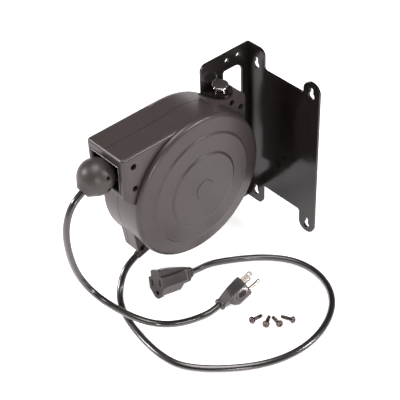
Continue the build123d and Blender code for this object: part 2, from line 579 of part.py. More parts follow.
def ball_screws():
    """Two screws that clamp the ball stop on the cord."""
    shapes = []
    for side in (1, -1):
        z = MOUTH_Z + side * BALL_SCREW_OFF
        head = rod("X", 2.2, SPLIT_X + 9, SPLIT_X + 10.8, BALL_Y + 2, z)
        shapes.append(head + rod("X", 1.3, SPLIT_X - 8, SPLIT_X + 9, BALL_Y + 2, z))
    return join(shapes)


# ---- drum and its drive -----------------------------------------------------------------
def axle_bar(start, end, grow=0.0):
    """Bar with one flat that keeps it from turning in the shells."""
    bar = rod("X", AXLE_RADIUS + grow, start, end, DRUM_Y, 0)
    flat = AXLE_FLAT + grow
    for a, b in ((start, start + 4.0), (end - 4.0, end)):
        bar -= block(a, b, DRUM_Y - 10, DRUM_Y + 10, flat, flat + 10)
    return bar


def axle():
    """Fixed axle, drilled at both ends for its bolts."""
    left, right = axle_ends()
    bar = axle_bar(left, right)
    return bar - rod("X", 3.0, left, left + 14, DRUM_Y, 0) - rod("X", 3.0, right - 14, right, DRUM_Y, 0)


def axle_bolts():
    """Bolts that hold the axle between the shells."""
    left, right = axle_ends()
    left_bolt = rod("X", 3.0, left - 1.8, left + 13, DRUM_Y, 0)
    left_bolt += rod("X", 5.0, LEFT_X + 0.1, left - 1.8, DRUM_Y, 0)
    right_head = rod("X", 5.0, right + 1.8, right + 4.6, DRUM_Y, 0)
    return join([left_bolt, rod("X", 3.0, right - 13, right + 1.8, DRUM_Y, 0) + right_head])


def spool_half():
    """Right half of the spool: flange, hub and half of the core, with four screw posts."""
    inner = FLANGE_OUT - FLANGE_THICK
    shape = drum_rod(FLANGE_RADIUS, inner, FLANGE_OUT)
    shape = fillet(shape.edges().filter_by(GeomType.CIRCLE), 0.6)
    shape += drum_rod(HUB_RADIUS, FLANGE_OUT - HUB_LENGTH, FLANGE_OUT)
    shape += drum_ring(CORE_RADIUS, CORE_RADIUS - CORE_WALL, 0, inner)
    for y, z in drum_screw_places():
        shape += rod("X", 4.0, SPLIT_X, SPLIT_X + inner, y, z)
        shape -= rod("X", SCREW_RADIUS, SPLIT_X, SPLIT_X + FLANGE_OUT, y, z)
    return shape - drum_rod(HUB_BUSH_RADIUS, 0, FLANGE_OUT)


def drum_screw_places():
    """Four places round the drum line for the spool screws."""
    radius = CORE_RADIUS - CORE_WALL - 5.0
    return [(DRUM_Y + radius * cos(a), radius * sin(a)) for a in (radians(45 + 90 * i) for i in range(4))]


def spool_right():
    """Right half with the seats of the screw heads."""
    shape = spool_half()
    for y, z in drum_screw_places():
        shape -= rod("X", SCREW_HEAD + LOOSE_FIT, SPLIT_X + FLANGE_OUT - 2.3, SPLIT_X + FLANGE_OUT, y, z)
    return shape


def spool_screws():
    """Screws that join the spool halves."""
    seat, length = SPLIT_X + FLANGE_OUT - 2.3, FLANGE_OUT + 10.0
    return join([screw(seat, -1, length, *place) for place in drum_screw_places()])


def hub_bush():
    """Right plain bush between the spool and the axle."""
    return drum_ring(HUB_BUSH_RADIUS, AXLE_RADIUS + RUN_FIT, FLANGE_OUT - HUB_LENGTH, FLANGE_OUT)


def spring_case():
    """Cup on the right flange that holds the power spring."""
    start = FLANGE_OUT
    return drum_rod(CASE_RADIUS, start, start + CASE_DEPTH - 1.8) - \
        drum_rod(CASE_RADIUS - CASE_WALL, start + CASE_WALL, start + CASE_DEPTH) - \
        drum_rod(AXLE_RADIUS + MOVE_GAP, start, start + CASE_DEPTH)


def spring_cover():
    """Lid of the spring case."""
    outer = FLANGE_OUT + CASE_DEPTH
    return drum_ring(CASE_RADIUS, AXLE_RADIUS + MOVE_GAP, outer - 1.8, outer)


def spring_arbor():
    """Sleeve on the axle that the inner end of the power spring hooks to."""
    start, end = FLANGE_OUT + CASE_WALL + MOVE_GAP, FLANGE_OUT + CASE_DEPTH - 2.2
    return drum_ring(ARBOR_RADIUS, AXLE_RADIUS, start, end)


def power_spring():
    """Flat spiral spring: half circles about two centres, half a pitch apart."""
    start = ARBOR_RADIUS + MOVE_GAP
    edges = []
    for i in range(2 * STRIP_TURNS):
        for extra in (0.0, STRIP_THICK):
            centre = (STRIP_PITCH / 2 * (i % 2), 0)
            edges.append(CenterArc(centre, start + i * STRIP_PITCH / 2 + extra, 180 * (i % 2), 180))
    last = start + STRIP_TURNS * STRIP_PITCH
    edges.append(Line((start, 0), (start + STRIP_THICK, 0)))
    edges.append(Line((last, 0), (last + STRIP_THICK, 0)))
    face = Pos(DRUM_Y, 0) * make_face(edges)
    side = SPLIT_X + FLANGE_OUT
    return along_x(face, side + CASE_WALL + 0.6, side + CASE_DEPTH - 2.4)


def winding():
    """Cord on the spool, as the outer shape of all its turns."""
    return drum_ring(WIND_RADIUS, CORE_RADIUS, -WIND_WIDTH / 2, WIND_WIDTH / 2)


def slip_ring_carrier():
    """Insulating disc on the left flange."""
    return drum_ring(CARRIER_RADIUS, 16.0, -FLANGE_OUT - CARRIER_THICK, -FLANGE_OUT)


def slip_rings():
    """Three flat copper rings."""
    face = -FLANGE_OUT - CARRIER_THICK
    return join([drum_ring(r + RING_HALF, r - RING_HALF, face - RING_THICK, face) for r in RING_RADII])


def brush_face_x():
    """X of the slip rings' contact face."""
    return SPLIT_X - FLANGE_OUT - CARRIER_THICK - RING_THICK


def brush_pockets(width, start, end):
    """Square prisms on the three ring radii, below the drum line."""
    return [block(start, end, DRUM_Y - width / 2, DRUM_Y + width / 2, -r - width / 2, -r + width / 2)
            for r in RING_RADII]


def brush_holder():
    """Insulating holder on the left shell for the three brushes."""
    body = block(LEFT_X + WALL, brush_face_x() - 0.8, DRUM_Y - 6.5, DRUM_Y + 6.5,
                 -RING_RADII[2] - 5, -RING_RADII[0] + 5)
    for pocket in brush_pockets(3.6 + 0.1, LEFT_X + WALL, brush_face_x()):
        body -= pocket
    return body


def brushes():
    """Carbon brushes that rest on the slip rings."""
    return join(brush_pockets(3.6, brush_face_x() - 3.6, brush_face_x() - RUN_FIT))


def brush_springs():
    """Bowed leaf springs behind the brushes."""
    wall, back = LEFT_X + WALL, brush_face_x() - 3.6
    thick = 0.25
    shapes = []
    for r in RING_RADII:
        outer = ThreePointArc((wall, -r - 1.6), (back - 0.02, -r), (wall, -r + 1.6))
        inner = ThreePointArc((wall, -r - 1.6 + thick), (back - thick, -r), (wall, -r + 1.6 - thick))
        ends = [Line((wall, -r + s * 1.6), (wall, -r + s * (1.6 - thick))) for s in (1, -1)]
        shapes.append(extrude(Plane.XZ.offset(-DRUM_Y - 1.4) * make_face([outer, inner] + ends), 2.8))
    return join(shapes)


def ratchet_ring():
    """Toothed ring on the left flange; its notches lock on the pawl."""
    start = -FLANGE_OUT - RATCHET_THICK
    shape = drum_ring(RATCHET_OUT, RATCHET_IN, start, -FLANGE_OUT)
    notch_from = 7.0 - 360.0 / RATCHET_TEETH / 4
    for i in range(RATCHET_TEETH):
        turn = 360.0 / RATCHET_TEETH * i
        side = notch_from + turn
        arc = [sector_point(RATCHET_OUT + 2, side), sector_point(RATCHET_ROOT, side),
               sector_point(RATCHET_ROOT, side + 15), sector_point(RATCHET_OUT + 2, side + 17)]
        shape -= along_x(outline(*arc), SPLIT_X + start, SPLIT_X - FLANGE_OUT)
    return shape


def sector_point(radius, angle):
    """Side-view point about the drum line; the angle runs from straight down towards +Y."""
    return DRUM_Y + radius * sin(radians(angle)), -radius * cos(radians(angle))


def pawl_x():
    """X of the pawl's outer face."""
    return SPLIT_X - FLANGE_OUT - RATCHET_THICK - 0.3


def pawl_pivot():
    """Side-view place of the pawl's pin."""
    return DRUM_Y + PAWL_PIVOT[0], PAWL_PIVOT[1]


def pawl():
    """Ratchet pawl, lying clear of the teeth."""
    pivot, tip = pawl_pivot(), (DRUM_Y + PAWL_TIP[0], PAWL_TIP[1])
    face = make_hull((Pos(*pivot) * Circle(3.4)).edges() + (Pos(*tip) * Circle(PAWL_NOSE)).edges())
    face -= Pos(*pivot) * Circle(1.5 + RUN_FIT)
    return along_x(face, pawl_x(), pawl_x() + PAWL_THICK)


def pawl_pin():
    """Pin of the pawl, pressed into the left shell."""
    return rod("X", 1.5, LEFT_X + 1.5, pawl_x() + PAWL_THICK + 0.3, *pawl_pivot())


def pawl_spring():
    """Leaf spring on the left shell, bearing on the back of the pawl."""
    y, z = pawl_pivot()
    leaf = outline((y - 13.0, z - 1.6), (y + 2.0, z - 4.2), (y + 12.0, z + 1.5), (y + 12.0, z + 0.6),
                   (y + 2.2, z - 4.9), (y - 13.0, z - 2.3))
    foot = rectangle(y + 12.0, y + 16.0, z, z + 2.6)
    start = LEFT_X + WALL
    end = pawl_x() + PAWL_THICK - 0.4
    return along_x(leaf, pawl_x(), end) + along_x(foot, start, end)


# ---- cords ------------------------------------------------------------------------------
def along(start, heading, distance):
    """Point at a distance from the start along a heading."""
    place = Vector(*start) + Vector(*heading).normalized() * distance
    return place.X, place.Y, place.Z


def corner_radii(points):
    """Radius at each corner: 0.45 of the shorter run over the tangent of half the turn."""
    radii = []
    for before, here, after in zip(points, points[1:], points[2:]):
        come, go = Vector(*here) - Vector(*before), Vector(*after) - Vector(*here)
        radii.append(0.45 * min(come.length, go.length) / tan(radians(come.get_angle(go)) / 2))
    return radii


def tube(points, radius):
    """Round tube along straight runs joined by tangent arcs."""
    path = FilletPolyline(*points, radius=corner_radii(points))
    way = Vector(*points[1]) - Vector(*points[0])
    return sweep(Plane(origin=points[0], z_dir=way) * Circle(radius), path=path)


def report_cord(name, points, solid):
    """Prints a cord's length and radii, and compares its volume with section times length."""
    length = FilletPolyline(*points, radius=corner_radii(points)).length
    ratio = solid.volume / (pi * (CORD / 2) ** 2 * length)
    print(name, "length", round(length, 1), "volume ratio", round(ratio, 4))
    print("  radii", [round(r, 1) for r in corner_radii(points)])


def strain_relief():
    """Moulded relief on the power lead: flange inside the wall, taper outside."""
    inner = extrude(gland_plane(-RELIEF_INSIDE - 1.6) * Circle(RELIEF_FLANGE), 1.6)
    root = extrude(gland_plane(-RELIEF_INSIDE) * Circle(RELIEF_ROOT), RELIEF_INSIDE + RELIEF_OUTSIDE)
    length = RELIEF_LENGTH - RELIEF_OUTSIDE
    taper = gland_plane(RELIEF_OUTSIDE) * Pos(0, 0, length / 2) * Cone(RELIEF_ROOT, RELIEF_TIP, length)
    return inner + root + taper


def lead_points():
    """Route of the power lead from the strain relief to the connector."""
    way = gland_plane().z_dir
    start = Vector(*GLAND) + way * RELIEF_LENGTH
    first = along(start, way, STRAIGHT_END)
    last = along(CONNECTOR_AT, CONNECTOR_HEADING, -STRAIGHT_END)
    return [along(start, way, 0), first] + list(LEAD_ROUTE) + [last, CONNECTOR_AT]


def tail_points():
    """Route of the pulled-out end of the cord from the ball stop to the plug."""
    ball, nose = feed_points()[-2:]
    first = along(nose, Vector(*nose) - Vector(*ball), BALL_STRAIGHT)
    last = along(PLUG_AT, PLUG_HEADING, -STRAIGHT_END)
    return [nose, first] + list(TAIL_ROUTE) + [last, PLUG_AT]


def end_frame(place, heading, roll):
    """Frame of a plug: its Z runs from the cord to the pins, and its Y is up when not rolled."""
    ahead = Vector(*heading).normalized()
    return Plane(origin=place, x_dir=Vector(0, 0, 1).cross(ahead), z_dir=ahead).location * Rot(0, 0, roll)


def neck(length, flange_radius, start_radius, end_radius):
    """Cord side of a plug: a flange, then a cone, along Z from the origin."""
    shape = Pos(0, 0, 1.75) * Cylinder(flange_radius, 3.5)
    shape = fillet(shape.edges().filter_by(GeomType.CIRCLE), 1.0)
    return shape + Pos(0, 0, 1 + length / 2) * Cone(start_radius, end_radius, length)


def lengthwise(points, half, flat):
    """Solid of a profile drawn along the plug: Z across the drawing, X (flat) or Y up it."""
    face = outline(*points)
    if flat:
        return extrude(Plane(origin=(0, -half, 0), x_dir=(0, 0, 1), z_dir=(0, 1, 0)) * face, 2 * half)
    return extrude(Plane(origin=(half, 0, 0), x_dir=(0, 0, 1), z_dir=(-1, 0, 0)) * face, 2 * half)


def plug_section():
    """Cross section of the plug: blades' side at -X, narrowing to the ground pin's side at +X."""
    half = PLUG_HALF_THICK
    upper = [(-9.5, 6.0), (-7.0, half), (4.6, half - 1.2), (15.5, 3.2)]
    face = outline(*upper, *[(x, -y) for x, y in reversed(upper)])
    sharp = [(x, way * y) for x, y in upper if x != 4.6 for way in (1, -1)]
    return round_corners(face, 1.2, *sharp)


def plug_body():
    """Moulded plug body: neck, tapering back and ground lobe, pocketed for its pins."""
    full, start = PLUG_LENGTH, PLUG_NECK
    body = extrude(Pos(0, 0, start) * plug_section(), full - start)
    body &= lengthwise([(start, 5.4), (14, 6.5), (15.5, 11), (19.5, 15), (25, 16), (full, 16), (full, -10),
                        (start, -5.6)], 12, True)
    half = PLUG_HALF_THICK
    body &= lengthwise([(start, 5.4), (17, half), (full, half), (full, -half), (17, -half),
                        (start, -5.4)], 20, False)
    body = neck(start, 7.4, 6.0, 5.6) + body
    for pin in plug_pins():
        body -= pin
    return body


def plug_pins():
    """Two flat blades and the round ground pin, in the plug's frame."""
    pins, middle, root = [], -1.9, PLUG_LENGTH - 8
    for side in (1, -1):
        y, tip = side * BLADE_SPACING / 2, PLUG_LENGTH + BLADE_LENGTH
        blade = Pos(middle, y, (root + tip) / 2) * Box(BLADE_WIDE, BLADE_THICK, tip - root)
        blade = fillet(blade.edges().filter_by(Axis.Y).group_by(Axis.Z)[-1], 2.4)
        pins.append(blade - rod("Y", 1.6, -10, 10, middle, tip - 4))
    tip = PLUG_LENGTH + GROUND_LENGTH
    ground = rod("Z", GROUND_RADIUS, root, tip, middle + GROUND_OFFSET, 0)
    pins.append(fillet(ground.edges().group_by(Axis.Z)[-1], 1.8))
    return pins


def connector_section():
    """Cross section of the connector: a raised middle, wide shoulders and a round lobe below."""
    half = CONNECTOR_HALF_WIDE
    right = [(5.4, 16.6), (7.2, 14.8), (7.2, 9.0), (half, 8.0), (half, -5.2), (6.6, -14.0)]
    left = [(-x, y) for x, y in reversed(right)]
    face = make_face([Polyline(*left, *right), ThreePointArc(right[-1], (0, -17.9), left[0])])
    for radius, (x, y) in ((2.6, right[0]), (1.2, right[3]), (2.0, right[4])):
        face = round_corners(face, radius, (x, y), (-x, y))
    return face


def connector_body():
    """Moulded connector: neck, collar, upper body to the back, lobe to three quarters, front plate."""
    full, start, half = CONNECTOR_LENGTH, CONNECTOR_NECK, CONNECTOR_HALF_WIDE
    behind = offset(connector_section(), -CONNECTOR_SETBACK, kind=Kind.INTERSECTION)
    body = extrude(Pos(0, 0, start) * behind, full - start)
    body += extrude(Pos(0, 0, full - CONNECTOR_PLATE) * connector_section(), CONNECTOR_PLATE)
    body &= lengthwise([(start, half - 4.5), (start + 12, half), (full, half), (full, -half),
                        (start + 12, -half), (start, 4.5 - half)], 20, True)
    body &= lengthwise([(start, 8.5), (start + 14, 12.0), (full - 8, 16.2), (full, 16.6), (full, -20),
                        (27, -20), (22.5, -15.5), (19.5, -8.5), (start, -8)], 20, False)
    collar = extrude(Pos(0, 0, start) * RectangleRounded(18.6, 17.4, 4), 3.6)
    body = neck(start, 6.9, 5.8, 6.4) + body + collar
    for cut in connector_slots(0.0, 22.0) + [Pos(0, 0, -6) * pocket for pocket in connector_slots(1.0, 12.0)]:
        body -= cut
    return body


def connector_slots(grow, depth):
    """Two blade slots and the ground hole, in from the connector's face."""
    front, middle = CONNECTOR_LENGTH, 1.0
    slots = []
    for side in (1, -1):
        x = side * BLADE_SPACING / 2
        slots.append(block(x - 1.0 - grow, x + 1.0 + grow, middle - 3.8 - grow, middle + 3.8 + grow,
                           front - depth, front))
    return slots + [rod("Z", GROUND_RADIUS + 0.4 + grow, front - depth, front, 0, middle - GROUND_OFFSET)]


def connector_contacts():
    """Brass contacts behind the slots."""
    outer, inner = connector_slots(1.0, 12.0), connector_slots(0.0, 12.0)
    return join([Pos(0, 0, -6) * (a - b) for a, b in zip(outer, inner)])


def loose_screw(x, y, heading):
    """Pan-head mounting screw lying on the bench, resting on its head and its tip."""
    dip = degrees(asin((MOUNT_HEAD - MOUNT_SHANK) / MOUNT_LENGTH))
    head = Cylinder(MOUNT_HEAD, 3.0)
    head = fillet(head.edges().group_by(Axis.Z)[0], 1.6)
    head -= Pos(0, 0, -1.1) * (Box(4.6, 1.1, 1.2) + Box(1.1, 4.6, 1.2))
    shape = Pos(0, 0, -1.5) * head + Pos(0, 0, MOUNT_LENGTH / 2) * Cylinder(MOUNT_SHANK, MOUNT_LENGTH)
    shape = Pos(x, y, 0) * Rot(0, 0, heading) * Rot(0, 90 + dip, 0) * shape
    return Pos(0, 0, BENCH_Z - shape.bounding_box().min.Z) * shape


# ---- writing the nodes ------------------------------------------------------------------
def write_bracket():
    """Nodes that stay on the wall."""
    save("wall_bracket", wall_bracket())
    for name, shape in zip(("upper", "lower"), both_ends(pivot_pin())):
        save(f"{name}_pivot_pin", shape)
    for name, shape in zip(("upper", "lower"), both_ends(pin_cap())):
        save(f"{name}_pin_cap", shape)
    save("thrust_washers", join(both_ends(thrust_washer())))


def write_housing():
    """Nodes of the swivelling housing."""
    whole = housing()
    far = 400
    right_half = block(SPLIT_X, far, -far, far, -far, far)
    save("right_shell", whole & right_half)
    save("left_shell", whole - right_half)
    save("hub_cap", hub_cap())
    save("housing_screws", housing_screws())
    save("pivot_bushes", join(both_ends(pivot_bush())))
    save("axle", axle())
    save("axle_bolts", axle_bolts())
    save("spring_arbor", spring_arbor())
    save("brush_holder", brush_holder())
    save("carbon_brushes", brushes())
    save("brush_springs", brush_springs())
    save("pawl_pin", pawl_pin())
    save("pawl_spring", pawl_spring())
    save("ratchet_pawl", pawl())


def write_mouth():
    """Nodes of the cord mouth and the ball stop."""
    save("guide_frame", guide_frame())
    save("guide_screws", guide_screws())
    save("roller_pins", join(roller_pin_list()))
    for name, axis, half, place in roller_places():
        save(f"{name}_roller", roller(axis, half, place))
    ball = ball_stop()
    right_half = block(SPLIT_X, SPLIT_X + 50, BALL_Y - 50, BALL_Y + 50, MOUTH_Z - 50, MOUTH_Z + 50)
    save("ball_stop_right", ball & right_half)
    save("ball_stop_left", ball - right_half)
    save("ball_stop_screws", ball_screws())
    save("cord_feed", tube(feed_points(), CORD / 2))


def write_drum():
    """Nodes that turn with the drum."""
    middle = Plane.YZ.offset(SPLIT_X)
    save("spool_right", spool_right())
    save("spool_left", mirror(spool_half(), middle))
    save("spool_screws", spool_screws())
    save("hub_bushes", join([hub_bush(), mirror(hub_bush(), middle)]))
    save("spring_case", spring_case())
    save("spring_cover", spring_cover())
    save("power_spring", power_spring())
    save("wound_cord", winding())
    save("slip_ring_carrier", slip_ring_carrier())
    save("slip_rings", slip_rings())
    save("ratchet_ring", ratchet_ring())


def write_cords():
    """Nodes of the two cords and what is on them."""
    save("lead_strain_relief", strain_relief())
    lead, tail = tube(lead_points(), CORD / 2), tube(tail_points(), CORD / 2)
    report_cord("power_lead", lead_points(), lead)
    report_cord("cord_tail", tail_points(), tail)
    save("power_lead", lead)
    save("cord_tail", tail)
    plug = end_frame(PLUG_AT, PLUG_HEADING, PLUG_ROLL)
    save("plug_body", plug * plug_body())
    save("plug_blades", join([plug * pin for pin in plug_pins()[:2]]))
    save("plug_ground_pin", plug * plug_pins()[2])
    socket = end_frame(CONNECTOR_AT, CONNECTOR_HEADING, CONNECTOR_ROLL)
    save("connector_body", socket * connector_body())
    save("connector_contacts", socket * connector_contacts())
    save("mounting_screws", join([loose_screw(*place) for place in LOOSE_SCREWS]))


os.makedirs("parts", exist_ok=True)
write_bracket()
write_housing()
write_mouth()
write_drum()
write_cords()
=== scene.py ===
"""Wall-mounted retractable extension cord reel: finishes, cords, threads, grips and light.

Metres, in the frame of the CAD model: the wall is towards +Y, the cord comes out towards -Y,
the round cover faces +X and +Z is up.
"""
import json
from math import asin, cos, pi, radians, sin
import bmesh
import bpy
from mathutils import Matrix, Vector


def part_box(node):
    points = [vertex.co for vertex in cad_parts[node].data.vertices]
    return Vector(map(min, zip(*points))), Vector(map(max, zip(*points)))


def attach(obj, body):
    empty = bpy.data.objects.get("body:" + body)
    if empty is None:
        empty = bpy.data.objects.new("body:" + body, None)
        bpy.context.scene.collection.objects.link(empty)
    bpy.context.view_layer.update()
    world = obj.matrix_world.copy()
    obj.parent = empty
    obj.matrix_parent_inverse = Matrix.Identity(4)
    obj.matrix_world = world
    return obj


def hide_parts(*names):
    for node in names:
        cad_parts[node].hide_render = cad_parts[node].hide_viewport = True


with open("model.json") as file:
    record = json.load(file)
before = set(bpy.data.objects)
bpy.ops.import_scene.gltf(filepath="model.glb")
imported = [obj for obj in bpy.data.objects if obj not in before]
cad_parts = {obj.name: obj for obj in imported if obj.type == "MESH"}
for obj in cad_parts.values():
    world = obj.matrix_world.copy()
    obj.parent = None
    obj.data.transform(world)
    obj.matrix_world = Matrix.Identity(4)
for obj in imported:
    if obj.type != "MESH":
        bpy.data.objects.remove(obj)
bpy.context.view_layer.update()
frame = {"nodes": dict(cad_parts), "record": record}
nodes = frame["nodes"]
scene = bpy.context.scene

MM = 0.001
BENCH = -0.123                             # height of the bench that the loose cords lie on
CORD = 0.008                               # outside diameter of the cord
DRUM_LINE = Vector((-0.048, -0.125, 0.0))  # a point on the drum's axis, which runs along X
MIDDLE = Vector((0.02, -0.13, -0.01))      # what the lamps are aimed at


def put(name, data):
    """New object in the scene."""
    item = bpy.data.objects.new(name, data)
    scene.collection.objects.link(item)
    return item


# ---- camera -----------------------------------------------------------------------------
CAMERA_AT = (0.7553, -0.7864, 0.8505)
CAMERA_HEADING = 49.25                     # degrees round Z, from looking along +Y
CAMERA_DIP = 40.73                         # degrees below level
CAMERA_ROLL = -2.27                        # degrees out of level
LENS, SENSOR = 103.608, 36.0               # mm


def place_camera():
    """Camera above, to the right and in front, a little out of level."""
    data = bpy.data.cameras.new("camera")
    data.lens = LENS
    data.sensor_width = SENSOR
    data.clip_start = 0.01
    data.clip_end = 50.0
    camera = put("camera", data)
    heading = Matrix.Rotation(radians(CAMERA_HEADING), 4, "Z")
    dip = Matrix.Rotation(radians(90 - CAMERA_DIP), 4, "X")
    roll = Matrix.Rotation(radians(CAMERA_ROLL), 4, "Z")
    camera.matrix_world = Matrix.Translation(CAMERA_AT) @ heading @ dip @ roll
    scene.camera = camera


place_camera()

# ---- cords ------------------------------------------------------------------------------
# Tilts are below level, and rolls are degrees round a plug's own line.
GLAND = Vector((-0.048, -0.173, -0.078))   # where the strain relief leaves the housing
GLAND_TILT = radians(22.4)
RELIEF_LENGTH = 0.026
PLUG_AT = Vector((0.060, -0.1642, -0.115))
PLUG_HEADING = Vector((-0.054, 0.988, 0.143))
PLUG_ROLL = 199.0
CONNECTOR_AT = Vector((-0.0044, -0.1518, -0.115))
CONNECTOR_HEADING = Vector((0.017, -0.950, 0.311))
CONNECTOR_ROLL = 27.0
BALL_AT = Vector((-0.048, -0.2415, 0.0595))
BALL_TILT = radians(28.0)
BALL_NOSE = 0.0225                         # from the ball's middle to where the cord leaves it
STRAIGHT_END = 0.012                       # straight stretch at the gland and at both plugs
BALL_STRAIGHT = 0.0105                     # straight stretch below the ball

# Points of the two cords in mm, from the piece that holds the cord to its plug.
TAIL_ROUTE = (
    (-48.4, -277.9, 36.2), (-49.0, -283.6, 25.2), (-49.7, -286.9, 12.0), (-50.5, -288.2, -4.5),
    (-51.5, -287.0, -24.0), (-52.2, -284.2, -43.0), (-52.2, -280.5, -60.0), (-51.5, -276.5, -73.0),
    (-47.4, -272.7, -84.2), (-40.2, -268.8, -93.5), (-30.4, -265.2, -99.8), (-18.8, -262.1, -102.9),
    (-1.0, -259.0, -102.9), (17.0, -254.3, -102.9), (34.0, -245.5, -104.8), (46.0, -230.5, -109.5),
    (52.5, -211.0, -115.0), (56.5, -190.5, -118.3),
)
LEAD_ROUTE = (
    (-46.3, -218.4, -99.4), (-42.5, -226.9, -107.8), (-35.5, -235.1, -114.0),
    (-25.9, -242.5, -117.2), (-12.4, -248.8, -118.7), (6.0, -254.5, -119.0),
    (26.0, -258.5, -119.0), (47.0, -261.0, -119.0), (70.0, -261.3, -119.0),
    (94.0, -256.5, -119.0), (117.0, -239.5, -119.0), (137.5, -217.0, -119.0),
    (154.0, -193.5, -119.0), (165.5, -168.0, -119.0), (171.0, -139.0, -119.0),
    (168.5, -110.0, -119.0), (159.0, -83.0, -119.0), (143.0, -60.0, -119.0),
    (119.0, -44.5, -119.0), (90.0, -39.0, -119.0), (62.0, -46.0, -119.0),
    (38.0, -64.0, -119.0), (18.0, -88.5, -119.0), (3.0, -112.5, -119.0),
    (-3.0, -126.5, -118.9),
)


def downwards(tilt):
    """Direction towards -Y, dipping by tilt."""
    return Vector((0.0, -cos(tilt), -sin(tilt)))


def whole_route(start, start_way, straight, route, end, end_way):
    """A cord's points from where it starts to its plug, with a straight stretch at both ends."""
    middle = [Vector(point) * MM for point in route]
    leaving = start + start_way * straight
    arriving = end - end_way.normalized() * STRAIGHT_END
    return [start, leaving, *middle, arriving, end]


def lay_cord(name, points):
    """Round cord with closed ends, on one smooth curve through a route."""
    curve = bpy.data.curves.new(name, "CURVE")
    curve.dimensions = "3D"
    curve.bevel_depth = CORD / 2
    curve.bevel_resolution = 6
    curve.resolution_u = 8
    curve.use_fill_caps = True
    spline = curve.splines.new("NURBS")
    spline.points.add(len(points) - 1)
    for place, point in zip(spline.points, points):
        place.co = (*point, 1.0)
    spline.order_u = 3
    spline.use_endpoint_u = True
    return put(name, curve)


lead_way = downwards(GLAND_TILT)
lead_exit = GLAND + lead_way * RELIEF_LENGTH
lead = lay_cord("lead_cord", whole_route(
    lead_exit, lead_way, STRAIGHT_END, LEAD_ROUTE, CONNECTOR_AT, CONNECTOR_HEADING))
ball_way = downwards(BALL_TILT)
tail_exit = BALL_AT + ball_way * BALL_NOSE
tail = lay_cord("pulled_out_cord", whole_route(
    tail_exit, ball_way, BALL_STRAIGHT, TAIL_ROUTE, PLUG_AT, PLUG_HEADING))

# ---- materials --------------------------------------------------------------------------
MIX_LOW, MIX_HIGH, MIX_RESULT = 6, 7, 2    # a Mix node's colour sockets, whose names it uses twice
NOISE_LOW, NOISE_HIGH = 0.25, 0.75         # nearly all of a noise texture lies between these


def linear(code):
    """Linear colour of an sRGB hex code."""
    values = [int(code[i:i + 2], 16) / 255 for i in (1, 3, 5)]
    return (*[v / 12.92 if v <= 0.04045 else ((v + 0.055) / 1.055) ** 2.4 for v in values], 1.0)


def add(tree, kind, values=None, links=None, **settings):
    """Adds a node: settings are its own, values go into its sockets and links come into them."""
    node = tree.nodes.new(kind)
    for name, value in settings.items():
        setattr(node, name, value)
    for socket, value in (values or {}).items():
        node.inputs[socket].default_value = value
    for socket, source in (links or {}).items():
        tree.links.new(source, node.inputs[socket])
    return node


def start_material(name, **sockets):
    """New material with a Principled shader: its tree, shader and object coordinates."""
    material = bpy.data.materials.new(name)
    material.use_nodes = True
    tree = material.node_tree
    tree.nodes.clear()
    shader = add(tree, "ShaderNodeBsdfPrincipled",
                 {key.replace("_", " "): value for key, value in sockets.items()})
    add(tree, "ShaderNodeOutputMaterial", links={"Surface": shader.outputs[0]})
    place = add(tree, "ShaderNodeTexCoord").outputs["Object"]
    return material, tree, shader, place


def feed(tree, shader, **sources):
    """Links each source into the shader's socket of that name."""
    for socket, source in sources.items():
        tree.links.new(source, shader.inputs[socket.replace("_", " ")])


def moulded(name, low, high, patch, gloss, grain, depth, **sockets):
    """Moulded plastic or rubber: two close colours in patches, uneven gloss and a fine grain.
    patch and grain are sizes in mm, depth is the grain's in mm, and gloss is the least and the
    greatest roughness."""
    material, tree, shader, place = start_material(name, **sockets)
    clouds = add(tree, "ShaderNodeTexNoise", {"Scale": 1 / (patch * MM), "Detail": 4.0},
                 {"Vector": place})
    colour = add(tree, "ShaderNodeMix", {MIX_LOW: linear(low), MIX_HIGH: linear(high)},
                 {"Factor": clouds.outputs[0]}, data_type="RGBA")
    pores = add(tree, "ShaderNodeTexNoise",
                {"Scale": 1 / (grain * MM), "Detail": 3.0, "Roughness": 0.6}, {"Vector": place})
    rough = add(tree, "ShaderNodeMapRange",
                {"From Min": NOISE_LOW, "From Max": NOISE_HIGH,
                 "To Min": gloss[0], "To Max": gloss[1]}, {"Value": pores.outputs[0]})
    relief = add(tree, "ShaderNodeBump", {"Strength": 1.0, "Distance": depth * MM},
                 {"Height": pores.outputs[0]})
    feed(tree, shader, Base_Color=colour.outputs[MIX_RESULT], Roughness=rough.outputs[0],
         Normal=relief.outputs[0])
    return material


def metal(name, low, high, gloss, stretch, mark, depth, **sockets):
    """Metal with tool marks: mark is their size and depth their depth in mm, and stretch divides
    their size along each axis, so that they run lengthwise where its number is small. gloss is
    the least and the greatest roughness."""
    tinge_size = 9 * MM
    material, tree, shader, place = start_material(name, Metallic=1.0, **sockets)
    tinge = add(tree, "ShaderNodeTexNoise", {"Scale": 1 / tinge_size, "Detail": 3.0},
                {"Vector": place})
    colour = add(tree, "ShaderNodeMix", {MIX_LOW: linear(low), MIX_HIGH: linear(high)},
                 {"Factor": tinge.outputs[0]}, data_type="RGBA")
    drawn = add(tree, "ShaderNodeMapping", {"Scale": stretch}, {"Vector": place})
    marks = add(tree, "ShaderNodeTexNoise", {"Scale": 1 / (mark * MM), "Detail": 5.0},
                {"Vector": drawn.outputs[0]})
    rough = add(tree, "ShaderNodeMapRange",
                {"From Min": NOISE_LOW, "From Max": NOISE_HIGH,
                 "To Min": gloss[0], "To Max": gloss[1]}, {"Value": marks.outputs[0]})
    relief = add(tree, "ShaderNodeBump", {"Strength": 1.0, "Distance": depth * MM},
                 {"Height": marks.outputs[0]})
    feed(tree, shader, Base_Color=colour.outputs[MIX_RESULT], Roughness=rough.outputs[0],
         Normal=relief.outputs[0])
    return material


